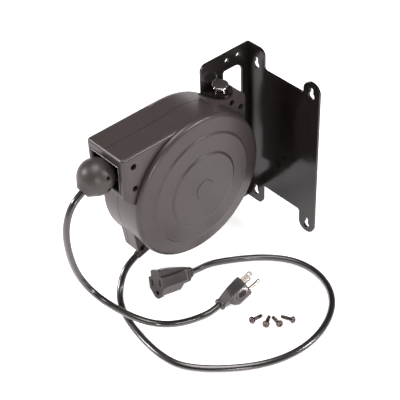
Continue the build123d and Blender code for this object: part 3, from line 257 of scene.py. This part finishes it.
def powder_coat():
    """Gloss black powder coat on folded steel: the plate mirrors softly, with a faint orange peel,
    and the flange, which the spray reached at a slant, is drier and duller."""
    film_patch, peel_size, peel_depth = 30 * MM, 2.2 * MM, 0.004 * MM
    flange_x, plate_x, flange_dryness = -0.050, -0.030, 0.20
    smoothest, roughest = 0.05, 0.20
    material, tree, shader, place = start_material("powder_coated_steel", Specular_IOR_Level=0.42)
    film = add(tree, "ShaderNodeTexNoise", {"Scale": 1 / film_patch, "Detail": 3.0},
               {"Vector": place})
    colour = add(tree, "ShaderNodeMix", {MIX_LOW: linear("#100c0b"), MIX_HIGH: linear("#171211")},
                 {"Factor": film.outputs[0]}, data_type="RGBA")
    peel = add(tree, "ShaderNodeTexNoise", {"Scale": 1 / peel_size, "Detail": 1.0},
               {"Vector": place})
    x = add(tree, "ShaderNodeSeparateXYZ", links={"Vector": place}).outputs["X"]
    dry = add(tree, "ShaderNodeMapRange",
              {"From Min": flange_x, "From Max": plate_x, "To Min": flange_dryness, "To Max": 0.0},
              {"Value": x})
    uneven = add(tree, "ShaderNodeMapRange", {"To Min": smoothest, "To Max": roughest},
                 {"Value": film.outputs[0]})
    rough = add(tree, "ShaderNodeMath", links={0: dry.outputs[0], 1: uneven.outputs[0]},
                operation="ADD")
    relief = add(tree, "ShaderNodeBump", {"Strength": 1.0, "Distance": peel_depth},
                 {"Height": peel.outputs[0]})
    feed(tree, shader, Base_Color=colour.outputs[MIX_RESULT], Roughness=rough.outputs[0],
         Normal=relief.outputs[0])
    return material


def cord_jacket():
    """Extruded black rubber jacket: glossy, with three shallow swells along it where the cores
    press outwards, so that a highlight splits into stripes that run lengthwise."""
    cores, swell = 3, 0.25 * MM
    dust_size, dust_depth = 6 * MM, 0.02 * MM
    material, tree, shader, place = start_material(
        "extruded_cord_jacket", Specular_IOR_Level=0.3, Coat_Weight=1.0, Coat_Roughness=0.2,
        Coat_IOR=1.7)
    dust = add(tree, "ShaderNodeTexNoise",
               {"Scale": 1 / dust_size, "Detail": 6.0, "Roughness": 0.65}, {"Vector": place})
    colour = add(tree, "ShaderNodeMix", {MIX_LOW: linear("#0f0d0c"), MIX_HIGH: linear("#1c1918")},
                 {"Factor": dust.outputs[0]}, data_type="RGBA")
    rough = add(tree, "ShaderNodeMapRange",
                {"From Min": NOISE_LOW, "From Max": NOISE_HIGH, "To Min": 0.32, "To Max": 0.42},
                {"Value": dust.outputs[0]})
    along = add(tree, "ShaderNodeTexCoord").outputs["UV"]
    around = add(tree, "ShaderNodeSeparateXYZ", links={"Vector": along}).outputs["Y"]
    turn = add(tree, "ShaderNodeMath", {1: cores * 2 * pi}, {0: around}, operation="MULTIPLY")
    swells = add(tree, "ShaderNodeMath", links={0: turn.outputs[0]}, operation="COSINE")
    pressed = add(tree, "ShaderNodeBump", {"Strength": 1.0, "Distance": swell},
                  {"Height": swells.outputs[0]})
    dusted = add(tree, "ShaderNodeBump", {"Strength": 1.0, "Distance": dust_depth},
                 {"Height": dust.outputs[0], "Normal": pressed.outputs[0]})
    feed(tree, shader, Base_Color=colour.outputs[MIX_RESULT], Roughness=rough.outputs[0],
         Normal=dusted.outputs[0], Coat_Normal=pressed.outputs[0])
    return material


def phenolic_board():
    """Pressed phenolic paper board: brown, with darker flecks."""
    fleck_size, fleck_depth = 1.5 * MM, 0.02 * MM
    material, tree, shader, place = start_material("pressed_phenolic_board", Roughness=0.45)
    flecks = add(tree, "ShaderNodeTexVoronoi", {"Scale": 1 / fleck_size}, {"Vector": place})
    colour = add(tree, "ShaderNodeMix", {MIX_LOW: linear("#4a2a17"), MIX_HIGH: linear("#6b4427")},
                 {"Factor": flecks.outputs[0]}, data_type="RGBA")
    relief = add(tree, "ShaderNodeBump", {"Strength": 1.0, "Distance": fleck_depth},
                 {"Height": flecks.outputs[0]})
    feed(tree, shader, Base_Color=colour.outputs[MIX_RESULT], Normal=relief.outputs[0])
    return material


EVEN = (1, 1, 1)                           # tool marks that run no special way
FINISHES = {
    "black_steel": powder_coat(),
    # Chrome plate: near-mirror with faint turning marks, so it flashes white and dark.
    "chrome_steel": metal("chrome_plated_steel", "#d8d6d3", "#c4c2bf", gloss=(0.06, 0.14),
                          stretch=(1, 1, 8), mark=0.8, depth=0.003),
    # Pressed-in nylon cap: dull and dark, it swallows the light beside the bright rim.
    "cap_plastic": moulded("moulded_nylon_cap", "#2c2928", "#363231", patch=5, gloss=(0.5, 0.62),
                           grain=0.5, depth=0.02),
    # Unfilled nylon: milky and slightly see-through at thin edges.
    "nylon": moulded("turned_white_nylon", "#cfcabc", "#ddd8cb", patch=8, gloss=(0.35, 0.45),
                     grain=0.8, depth=0.02, Subsurface_Weight=0.2, Subsurface_Scale=0.002),
    # ABS moulded in a spark-eroded tool: fine even grain spreads every highlight wide.
    "shell_plastic": moulded("grained_abs", "#383231", "#413a39", patch=25, gloss=(0.32, 0.40),
                             grain=0.55, depth=0.02, Specular_IOR_Level=0.6),
    # Glass-filled nylon: darker and drier than the shells.
    "guide_plastic": moulded("glass_filled_nylon", "#1d1b1a", "#272423", patch=6, gloss=(0.45, 0.6),
                             grain=0.5, depth=0.03),
    # ABS from a plain tool: neutral grey, and duller than the shells.
    "drum_plastic": moulded("moulded_abs_drum", "#2c2a29", "#343130", patch=20, gloss=(0.4, 0.5),
                            grain=0.7, depth=0.03),
    # Black nickel plate on screws: dark and warm, with a soft metallic shine.
    "screw_steel": metal("black_nickel_screws", "#5a5450", "#7a736e", gloss=(0.22, 0.36),
                         stretch=EVEN, mark=0.6, depth=0.01),
    # Rolled and turned steel: fine marks round the drum line.
    "bright_steel": metal("turned_steel", "#b3b0ac", "#c3c0bc", gloss=(0.22, 0.38),
                          stretch=(12, 1, 1), mark=1.2, depth=0.006),
    # Blue-tempered strip: dark, with a bluish tinge.
    "spring_steel": metal("tempered_spring_strip", "#5d6471", "#75706b", gloss=(0.25, 0.4),
                          stretch=(1, 6, 1), mark=1.0, depth=0.006),
    # Sintered bronze: dull and grainy, because it is pressed from powder.
    "bronze": metal("sintered_bronze", "#9a6f3e", "#b08450", gloss=(0.4, 0.55), stretch=EVEN,
                    mark=0.4, depth=0.02),
    # Stamped brass: yellow, with fine rolling marks.
    "brass": metal("stamped_brass", "#c9a659", "#d6b66d", gloss=(0.25, 0.4), stretch=(1, 1, 6),
                   mark=0.8, depth=0.006),
    # Polished copper: the brushes keep the rings bright.
    "copper": metal("polished_copper", "#c77f5a", "#d69270", gloss=(0.15, 0.3), stretch=EVEN,
                    mark=0.8, depth=0.004),
    # Pressed carbon: sooty, with a little graphite shine.
    "carbon": moulded("pressed_carbon", "#1b1b1c", "#2c2c2e", patch=2, gloss=(0.45, 0.7),
                      grain=0.4, depth=0.03),
    "phenolic": phenolic_board(),
    "rubber_cord": cord_jacket(),
    # Soft PVC moulded over the wires: smooth and fairly glossy, with small sink marks.
    "moulded_vinyl": moulded("overmoulded_pvc", "#383433", "#433e3d", patch=7, gloss=(0.28, 0.38),
                             grain=1.4, depth=0.03, Specular_IOR_Level=0.6),
    # Nickel plate on brass blades: bright and slightly warm, rubbed lengthwise.
    "nickel": metal("nickel_plated_brass", "#c2b9af", "#d3cbc2", gloss=(0.18, 0.32),
                    stretch=(1, 0.15, 1), mark=0.5, depth=0.006),
}
# Screws sunk in deep holes: painted shade, their colour darkened to nearly that of the holes'
# shade, with a dull shine.
SUNK_SCREWS_PAINTED_SHADE = metal("screws_darkened_painted_shade", "#1c1a19", "#2a2725", gloss=(0.4, 0.55), stretch=EVEN,
                    mark=0.6, depth=0.01)
# The ball stop is a drier ABS, blasted coarser, so that its highlight is one broad glow.
BALL_PLASTIC = moulded("blasted_abs_ball", "#34302d", "#3f3a37", patch=6, gloss=(0.38, 0.48),
                       grain=0.8, depth=0.04, Specular_IOR_Level=0.6)
# Dark ribbed patches of a plug: same PVC from a blasted part of the mould, so they stay dull.
GRIP_RUBBER = moulded("blasted_pvc_grip", "#242120", "#2e2a29", patch=3, gloss=(0.45, 0.6),
                      grain=0.5, depth=0.03)
# Glossy PVC round the plug's patch and on the connector's ribs: painted sheen, its colour lightened
# to stand for a lamp's pale highlight.
GRIP_RIM_PAINTED_SHEEN = moulded("pvc_grip_rim_painted_sheen", "#5b5553", "#676160", patch=5, gloss=(0.18, 0.26),
                   grain=1.0, depth=0.01, Specular_IOR_Level=0.7)
# Lip of the roller guide: glass-filled nylon, glossier than the frame, with a painted highlight,
# its colour lightened to show a line of light along the lip.
GUIDE_LIP_PAINTED_HIGHLIGHT = moulded("glass_filled_nylon_painted_highlight", "#4a4543", "#55504d", patch=4,
                    gloss=(0.22, 0.32), grain=0.5, depth=0.01, Specular_IOR_Level=0.7)
# Loose screws: dark nickel plate, glossier than on the other screws, so that the heads glint.
LOOSE_NICKEL = metal("nickel_plated_screws", "#56504c", "#7b736e", gloss=(0.12, 0.24), stretch=EVEN,
                     mark=0.9, depth=0.01)
OWN_FINISH = {
    "mounting_screws": LOOSE_NICKEL,
    "guide_screws": SUNK_SCREWS_PAINTED_SHADE,
    "housing_screws": SUNK_SCREWS_PAINTED_SHADE,
    "ball_stop_screws": SUNK_SCREWS_PAINTED_SHADE,
    "ball_stop_right": BALL_PLASTIC,
    "ball_stop_left": BALL_PLASTIC,
}
SLOT_OF = {part["node"]: part["material_slot"] for part in frame["record"]["subparts"]}
for name, solid in nodes.items():
    solid.data.materials.clear()
    solid.data.materials.append(OWN_FINISH.get(name, FINISHES[SLOT_OF[name]]))

for cord in (lead, tail):
    cord.data.materials.append(FINISHES["rubber_cord"])


# ---- repeated pieces, grown by Geometry Nodes -------------------------------------------
def new_tree(name, inputs):
    """Empty Geometry Nodes tree with named inputs: the tree, its input node and its output node."""
    tree = bpy.data.node_groups.new(name, "GeometryNodeTree")
    tree.interface.new_socket("Geometry", in_out="INPUT", socket_type="NodeSocketGeometry")
    for label, kind in inputs.items():
        tree.interface.new_socket(label, in_out="INPUT", socket_type=kind)
    tree.interface.new_socket("Geometry", in_out="OUTPUT", socket_type="NodeSocketGeometry")
    return tree, add(tree, "NodeGroupInput"), add(tree, "NodeGroupOutput")


def close_tree(tree, source, finish, end):
    """Ends a tree with real geometry of one material, the same always or from an input."""
    real = add(tree, "GeometryNodeRealizeInstances", links={"Geometry": source})
    painted = add(tree, "GeometryNodeSetMaterial", links={"Geometry": real.outputs[0]})
    if isinstance(finish, bpy.types.Material):
        painted.inputs["Material"].default_value = finish
    else:
        tree.links.new(finish, painted.inputs["Material"])
    tree.links.new(painted.outputs[0], end.inputs[0])


def grow(name, seed_mesh, tree, values, body):
    """Runs a tree on a seed mesh and leaves its result as a plain piece on a body."""
    seed = put(name + "_seed", seed_mesh)
    modifier = seed.modifiers.new("grow", "NODES")
    modifier.node_group = tree
    for item in tree.interface.items_tree:
        if item.in_out == "INPUT" and item.name in values:
            modifier[item.identifier] = values[item.name]
    shaped = seed.evaluated_get(bpy.context.evaluated_depsgraph_get())
    mesh = bpy.data.meshes.new_from_object(shaped)
    bpy.data.objects.remove(seed)
    piece = put(name, mesh)
    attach(piece, body)
    return piece


def seed_points(name, points, aims=None):
    """Mesh of loose points, each with a direction kept in the attribute aim."""
    mesh = bpy.data.meshes.new(name)
    mesh.from_pydata([tuple(point) for point in points], [], [])
    if aims:
        held = mesh.attributes.new("aim", "FLOAT_VECTOR", "POINT")
        held.data.foreach_set("vector", [value for aim in aims for value in aim])
    return mesh


def wind_cord():
    """Turns of cord on the drum, layer on layer."""
    tree, start, end = new_tree("cord_winding", {
        "Cord": "NodeSocketFloat", "Width": "NodeSocketFloat", "Turns": "NodeSocketFloat",
        "First radius": "NodeSocketFloat", "Layer step": "NodeSocketFloat",
        "Layers": "NodeSocketInt"})
    layers = add(tree, "GeometryNodeMeshLine", {"Offset": (0, 0, 0)},
                 {"Count": start.outputs["Layers"]})
    helix = add(tree, "GeometryNodeCurveSpiral",
                {"Resolution": 40, "Start Radius": 1.0, "End Radius": 1.0},
                {"Rotations": start.outputs["Turns"], "Height": start.outputs["Width"]})
    number = add(tree, "GeometryNodeInputIndex")
    step = add(tree, "ShaderNodeMath", operation="MULTIPLY", links={
        0: number.outputs[0], 1: start.outputs["Layer step"]})
    radius = add(tree, "ShaderNodeMath", operation="ADD", links={
        0: step.outputs[0], 1: start.outputs["First radius"]})
    size = add(tree, "ShaderNodeCombineXYZ", {"Z": 1.0},
               {"X": radius.outputs[0], "Y": radius.outputs[0]})
    wound = add(tree, "GeometryNodeInstanceOnPoints", links={
        "Points": layers.outputs[0], "Instance": helix.outputs[0], "Scale": size.outputs[0]})
    real = add(tree, "GeometryNodeRealizeInstances", links={"Geometry": wound.outputs[0]})
    half = add(tree, "ShaderNodeMath", {1: 0.5}, {0: start.outputs["Cord"]}, operation="MULTIPLY")
    section = add(tree, "GeometryNodeCurvePrimitiveCircle", {"Resolution": 10},
                  {"Radius": half.outputs[0]})
    tube = add(tree, "GeometryNodeCurveToMesh", {"Fill Caps": True},
               {"Curve": real.outputs[0], "Profile Curve": section.outputs[0]})
    smooth = add(tree, "GeometryNodeSetShadeSmooth", links={"Geometry": tube.outputs[0]})
    down = add(tree, "ShaderNodeMath", {1: -0.5}, {0: start.outputs["Width"]}, operation="MULTIPLY")
    offset = add(tree, "ShaderNodeCombineXYZ", links={"Z": down.outputs[0]})
    centred = add(tree, "GeometryNodeTransform", links={
        "Geometry": smooth.outputs[0], "Translation": offset.outputs[0]})
    across = add(tree, "GeometryNodeTransform",
                 {"Translation": DRUM_LINE, "Rotation": (0, pi / 2, 0)},
                 {"Geometry": centred.outputs[0]})
    close_tree(tree, across.outputs[0], FINISHES["rubber_cord"], end)
    winding = grow("wound_turns", seed_points("drum_seed", [(0, 0, 0)]), tree,
                   {"Cord": CORD, "Width": 0.0255, "Turns": 3.4, "First radius": 0.0382,
                    "Layer step": 0.0082, "Layers": 5}, "drum")
    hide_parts("wound_cord")


def cut_threads():
    """Threads on the four loose mounting screws, which lie on the rims of their heads."""
    head, shank, length = 0.0043, 0.0020, 0.014
    dip = asin((head - shank) / length)
    lying = (  # each screw's head in mm, and the way it points in degrees
        (101.0, -150.0, 88.0), (116.0, -143.0, 121.0),
        (126.0, -132.0, 166.0), (132.0, -117.0, 196.0),
    )
    points = [(x * MM, y * MM, BENCH + head * cos(dip)) for x, y, heading in lying]
    aims = [(cos(radians(heading)) * cos(dip), sin(radians(heading)) * cos(dip), -sin(dip))
            for x, y, heading in lying]
    tree, start, end = new_tree("screw_threads", {
        "Radius": "NodeSocketFloat", "Length": "NodeSocketFloat", "Turns": "NodeSocketFloat",
        "Crest": "NodeSocketFloat", "Start": "NodeSocketFloat"})
    helix = add(tree, "GeometryNodeCurveSpiral", {"Resolution": 24}, {
        "Rotations": start.outputs["Turns"], "Height": start.outputs["Length"],
        "Start Radius": start.outputs["Radius"], "End Radius": start.outputs["Radius"]})
    ridge = add(tree, "GeometryNodeCurvePrimitiveCircle", {"Resolution": 4},
                {"Radius": start.outputs["Crest"]})
    thread = add(tree, "GeometryNodeCurveToMesh", {"Fill Caps": True},
                 {"Curve": helix.outputs[0], "Profile Curve": ridge.outputs[0]})
    shift = add(tree, "ShaderNodeCombineXYZ", links={"Z": start.outputs["Start"]})
    placed = add(tree, "GeometryNodeTransform", links={
        "Geometry": thread.outputs[0], "Translation": shift.outputs[0]})
    aim = add(tree, "GeometryNodeInputNamedAttribute", {"Name": "aim"}, data_type="FLOAT_VECTOR")
    turn = add(tree, "FunctionNodeAlignRotationToVector", links={"Vector": aim.outputs[0]},
               axis="Z")
    screws = add(tree, "GeometryNodeInstanceOnPoints", links={
        "Points": start.outputs[0], "Instance": placed.outputs[0], "Rotation": turn.outputs[0]})
    close_tree(tree, screws.outputs[0], LOOSE_NICKEL, end)
    grow("mounting_screw_threads", seed_points("screw_seed", points, aims), tree,
         {"Radius": 0.00196, "Length": 0.0105, "Turns": 9.0, "Crest": 0.00034, "Start": 0.0012},
         "reel")


OVAL_REACH = 0.7                           # an oval of 1 ends this many row lengths from its middle


def row_tree():
    """Tree that lays rounded ribs side by side, shortened towards the row's ends as in an oval."""
    tree, start, end = new_tree("rib_row", {
        "Count": "NodeSocketInt", "Pitch": "NodeSocketFloat", "Length": "NodeSocketFloat",
        "Width": "NodeSocketFloat", "Rise": "NodeSocketFloat", "Oval": "NodeSocketFloat",
        "Finish": "NodeSocketMaterial"})
    last = add(tree, "ShaderNodeMath", {1: -1.0}, {0: start.outputs["Count"]}, operation="ADD")
    half_row = add(tree, "ShaderNodeMath", {1: 0.5}, {0: last.outputs[0]}, operation="MULTIPLY")
    number = add(tree, "GeometryNodeInputIndex")
    centred = add(tree, "ShaderNodeMath", links={0: number.outputs[0], 1: half_row.outputs[0]},
                  operation="SUBTRACT")
    across = add(tree, "ShaderNodeMath", links={0: centred.outputs[0], 1: start.outputs["Pitch"]},
                 operation="MULTIPLY")
    spot = add(tree, "ShaderNodeCombineXYZ", links={"X": across.outputs[0]})
    points = add(tree, "GeometryNodeMeshLine", links={"Count": start.outputs["Count"]})
    row = add(tree, "GeometryNodeSetPosition", links={
        "Geometry": points.outputs[0], "Position": spot.outputs[0]})
    reach = add(tree, "ShaderNodeMath", {1: OVAL_REACH}, {0: start.outputs["Count"]},
                operation="MULTIPLY")
    part = add(tree, "ShaderNodeMath", links={0: centred.outputs[0], 1: reach.outputs[0]},
               operation="DIVIDE")
    square = add(tree, "ShaderNodeMath", links={0: part.outputs[0], 1: part.outputs[0]},
                 operation="MULTIPLY")
    bitten = add(tree, "ShaderNodeMath", links={0: square.outputs[0], 1: start.outputs["Oval"]},
                 operation="MULTIPLY")
    keep = add(tree, "ShaderNodeMath", {0: 1.0}, {1: bitten.outputs[0]}, operation="SUBTRACT")
    length = add(tree, "ShaderNodeMath", links={0: keep.outputs[0], 1: start.outputs["Length"]},
                 operation="MULTIPLY")
    size = add(tree, "ShaderNodeCombineXYZ", links={
        "X": start.outputs["Width"], "Y": length.outputs[0], "Z": start.outputs["Rise"]})
    rib = add(tree, "GeometryNodeMeshUVSphere", {"Segments": 12, "Rings": 8, "Radius": 0.5})
    soft = add(tree, "GeometryNodeSetShadeSmooth", links={"Geometry": rib.outputs[0]})
    ribs = add(tree, "GeometryNodeInstanceOnPoints", links={
        "Points": row.outputs[0], "Instance": soft.outputs[0], "Scale": size.outputs[0]})
    close_tree(tree, ribs.outputs[0], start.outputs["Finish"], end)
    return tree


wind_cord()
cut_threads()
RIB_ROW = row_tree()


# ---- grips and ribs on the plug and the connector ---------------------------------------
def end_frame(at, heading, roll):
    """Place of a plug: Z runs from the cord to the pins, Y is up before it is rolled."""
    ahead = heading.normalized()
    side = Vector((0, 0, 1)).cross(ahead).normalized()
    turn = Matrix((side, ahead.cross(side), ahead)).transposed().to_4x4()
    return Matrix.Translation(at) @ turn @ Matrix.Rotation(radians(roll), 4, "Z")


def on_plug(plug, centre, across, out):
    """Place on the side of a plug: the row runs along it, its ribs lie across and rise outwards.
    centre is in mm."""
    across = Vector(across).normalized()
    out = Vector(out).normalized()
    turn = Matrix((across.cross(out), across, out)).transposed().to_4x4()
    return plug @ Matrix.Translation(Vector(centre) * MM) @ turn


def lay_ribs(name, place, finish, count, pitch, length, width, rise, oval=0.0):
    """One row of ribs, moved to its place on a plug. Sizes are in mm, and rise is a rib's whole
    height, of which half stands out."""
    sizes = {"Count": count, "Pitch": pitch * MM, "Length": length * MM, "Width": width * MM,
             "Rise": rise * MM, "Oval": oval, "Finish": finish}
    seed = seed_points(name + "_seed", [(0, 0, 0)])
    piece = grow(name, seed, RIB_ROW, sizes, "reel")
    piece.data.transform(place)


PLUG = end_frame(PLUG_AT, PLUG_HEADING, PLUG_ROLL)
CONNECTOR = end_frame(CONNECTOR_AT, CONNECTOR_HEADING, CONNECTOR_ROLL)
ALONG_CORD = (0.0, 0.0, 1.0)
COLLAR_SIDE, COLLAR_MIDDLE = 9.2, 9.8      # mm from the connector's line, and along it

lobe_grip = on_plug(PLUG, (10.0, -5.73, 28.0), (10.9, 5.0, 0.0), (5.0, -10.9, 0.0))
# Painted sheen: the rim's pale colour stands for a lamp's highlight round the grip.
lay_ribs("plug_grip_rim_painted_sheen", lobe_grip, GRIP_RIM_PAINTED_SHEEN,
         count=1, pitch=0.0, length=12.5, width=20.5, rise=0.5)
lay_ribs("plug_grip_pad", lobe_grip, GRIP_RUBBER,
         count=1, pitch=0.0, length=8.5, width=14.5, rise=0.7)
lay_ribs("plug_grip_ribs", lobe_grip, GRIP_RUBBER,
         count=8, pitch=1.55, length=7.8, width=0.8, rise=1.7, oval=1.6)
back_grip = on_plug(PLUG, (-1.2, -8.85, 26.5), ALONG_CORD, (0.103, -0.995, 0.0))
lay_ribs("plug_back_ridges", back_grip, GRIP_RUBBER,
         count=8, pitch=1.45, length=21.0, width=0.8, rise=1.2)
for label, side in (("right", 1), ("left", -1)):
    middle = (side * COLLAR_SIDE, 0.0, COLLAR_MIDDLE)
    collar = on_plug(CONNECTOR, middle, ALONG_CORD, (side, 0.0, 0.0))
    # Painted sheen: the ribs' pale colour stands for a lamp's highlight on the collar.
    lay_ribs("connector_ribs_" + label, collar, GRIP_RIM_PAINTED_SHEEN,
             count=7, pitch=1.9, length=3.4, width=1.1, rise=1.2)


# ---- lip of the cord mouth --------------------------------------------------------------
def edge_mouth():
    """Rounded lip of the roller guide, a little out of the spout's opening, clear of its edge."""
    low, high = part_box("guide_frame")
    gap, width, proud, depth = 1.0 * MM, 1.2 * MM, 1.1 * MM, 2.2 * MM
    front = low[1] - proud
    back = front + depth
    corners = []
    for inset, y in ((gap, front), (gap + width, front), (gap + width, back), (gap, back)):
        left, right = low[0] + inset, high[0] - inset
        bottom, top = low[2] + inset, high[2] - inset
        corners += [(left, y, bottom), (right, y, bottom), (right, y, top), (left, y, top)]
    faces = []
    for ring in range(4):
        here, there = 4 * ring, 4 * ((ring + 1) % 4)
        faces += [(here + k, here + (k + 1) % 4, there + (k + 1) % 4, there + k) for k in range(4)]
    mesh = bpy.data.meshes.new("mouth_lip")
    mesh.from_pydata(corners, [], faces)
    shape = bmesh.new()
    shape.from_mesh(mesh)
    bmesh.ops.recalc_face_normals(shape, faces=shape.faces)
    shape.to_mesh(mesh)
    shape.free()
    # Painted highlight: the lip's light colour stands for a line of light along the guide's edge.
    mesh.materials.append(GUIDE_LIP_PAINTED_HIGHLIGHT)
    lip = put("mouth_lip", mesh)
    rounding = lip.modifiers.new("rounding", "BEVEL")
    rounding.width = 0.5 * MM
    rounding.segments = 3
    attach(lip, "reel")


edge_mouth()

# ---- what rides on what -----------------------------------------------------------------
for cord, solid in ((lead, "power_lead"), (tail, "cord_tail")):
    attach(cord, "reel")
    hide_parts(solid)

# ---- bench and light --------------------------------------------------------------------
BENCH_REACH = 6.0                          # half of the bench's side, far past what is seen
BENCH_LIFT = 0.75                          # glow that whitens the bench where it is seen
WALL_LIGHT, CEILING_LIGHT = 0.75, 0.06     # strengths of the room's two shades
WALL_TOP, CEILING_EDGE = 0.02, 0.42        # where one fades into the other, 0 level and 1 overhead
SOFTBOXES = (                              # name, place, width, height and watts
    ("left_softbox", (-0.78, -1.04, 0.68), 0.24, 0.24, 9.0),
    ("right_back_softbox", (0.93, 0.56, 0.79), 0.28, 0.28, 9.0),
    ("overhead_softbox", (0.0, -0.2, 1.5), 0.8, 0.8, 15.0),
    ("back_left_softbox", (-1.5, 0.9, 0.15), 1.0, 0.5, 4.0),
    ("front_right_softbox", (1.13, -0.80, 0.40), 0.18, 0.18, 5.0),
)


def lay_bench():
    """Pale bench: it keeps the soft shadow and runs out to white."""
    fibre_size = 25 * MM
    far = BENCH_REACH
    mesh = bpy.data.meshes.new("bench")
    corners = [(-far, -far, BENCH), (far, -far, BENCH), (far, far, BENCH), (-far, far, BENCH)]
    mesh.from_pydata(corners, [], [(0, 1, 2, 3)])
    bench = put("bench", mesh)
    material = bpy.data.materials.new("matt_white_bench")
    material.use_nodes = True
    tree = material.node_tree
    tree.nodes.clear()
    place = add(tree, "ShaderNodeTexCoord").outputs["Object"]
    fibre = add(tree, "ShaderNodeTexNoise", {"Scale": 1 / fibre_size, "Detail": 4.0},
                {"Vector": place})
    tint = add(tree, "ShaderNodeMix", {MIX_LOW: linear("#efe8e8"), MIX_HIGH: linear("#f5eeee")},
               {"Factor": fibre.outputs[0]}, data_type="RGBA")
    paint = add(tree, "ShaderNodeBsdfDiffuse", links={"Color": tint.outputs[MIX_RESULT]})
    path = add(tree, "ShaderNodeLightPath")
    seen = add(tree, "ShaderNodeMath", operation="MAXIMUM", links={
        0: path.outputs["Is Camera Ray"], 1: path.outputs["Is Glossy Ray"]})
    shown = add(tree, "ShaderNodeMath", operation="MAXIMUM", links={
        0: seen.outputs[0], 1: path.outputs["Is Transmission Ray"]})
    lift = add(tree, "ShaderNodeMath", {1: BENCH_LIFT}, {0: shown.outputs[0]}, operation="MULTIPLY")
    glow = add(tree, "ShaderNodeEmission", links={"Strength": lift.outputs[0]})
    both = add(tree, "ShaderNodeAddShader", links={0: paint.outputs[0], 1: glow.outputs[0]})
    add(tree, "ShaderNodeOutputMaterial", links={"Surface": both.outputs[0]})
    mesh.materials.append(material)


def light_room():
    """White walls under a dim ceiling, so that gloss has something dark between the lamps."""
    world = bpy.data.worlds.new("white_room")
    world.use_nodes = True
    tree = world.node_tree
    tree.nodes.clear()
    path = add(tree, "ShaderNodeLightPath")
    way = add(tree, "ShaderNodeTexCoord").outputs["Generated"]
    height = add(tree, "ShaderNodeSeparateXYZ", links={"Vector": way}).outputs["Z"]
    walls = add(tree, "ShaderNodeMapRange",
                {"From Min": WALL_TOP, "From Max": CEILING_EDGE, "To Min": WALL_LIGHT,
                 "To Max": CEILING_LIGHT},
                {"Value": height}, interpolation_type="SMOOTHSTEP")
    seen = add(tree, "ShaderNodeMath", operation="MAXIMUM", links={
        0: walls.outputs[0], 1: path.outputs["Is Camera Ray"]})
    room = add(tree, "ShaderNodeBackground", {"Color": (1, 1, 1, 1)}, {"Strength": seen.outputs[0]})
    add(tree, "ShaderNodeOutputWorld", links={"Surface": room.outputs[0]})
    scene.world = world


def hang_softbox(name, place, width, height, watts):
    """Soft lamp aimed at the middle of the reel."""
    data = bpy.data.lights.new(name, "AREA")
    data.shape = "RECTANGLE"
    data.size = width
    data.size_y = height
    data.energy = watts
    data.color = linear("#fffafa")[:3]
    lamp = put(name, data)
    lamp.location = place
    lamp.rotation_euler = (MIDDLE - Vector(place)).to_track_quat("-Z", "Y").to_euler()


lay_bench()
light_room()
for softbox in SOFTBOXES:
    hang_softbox(*softbox)
scene.view_settings.view_transform = "Standard"
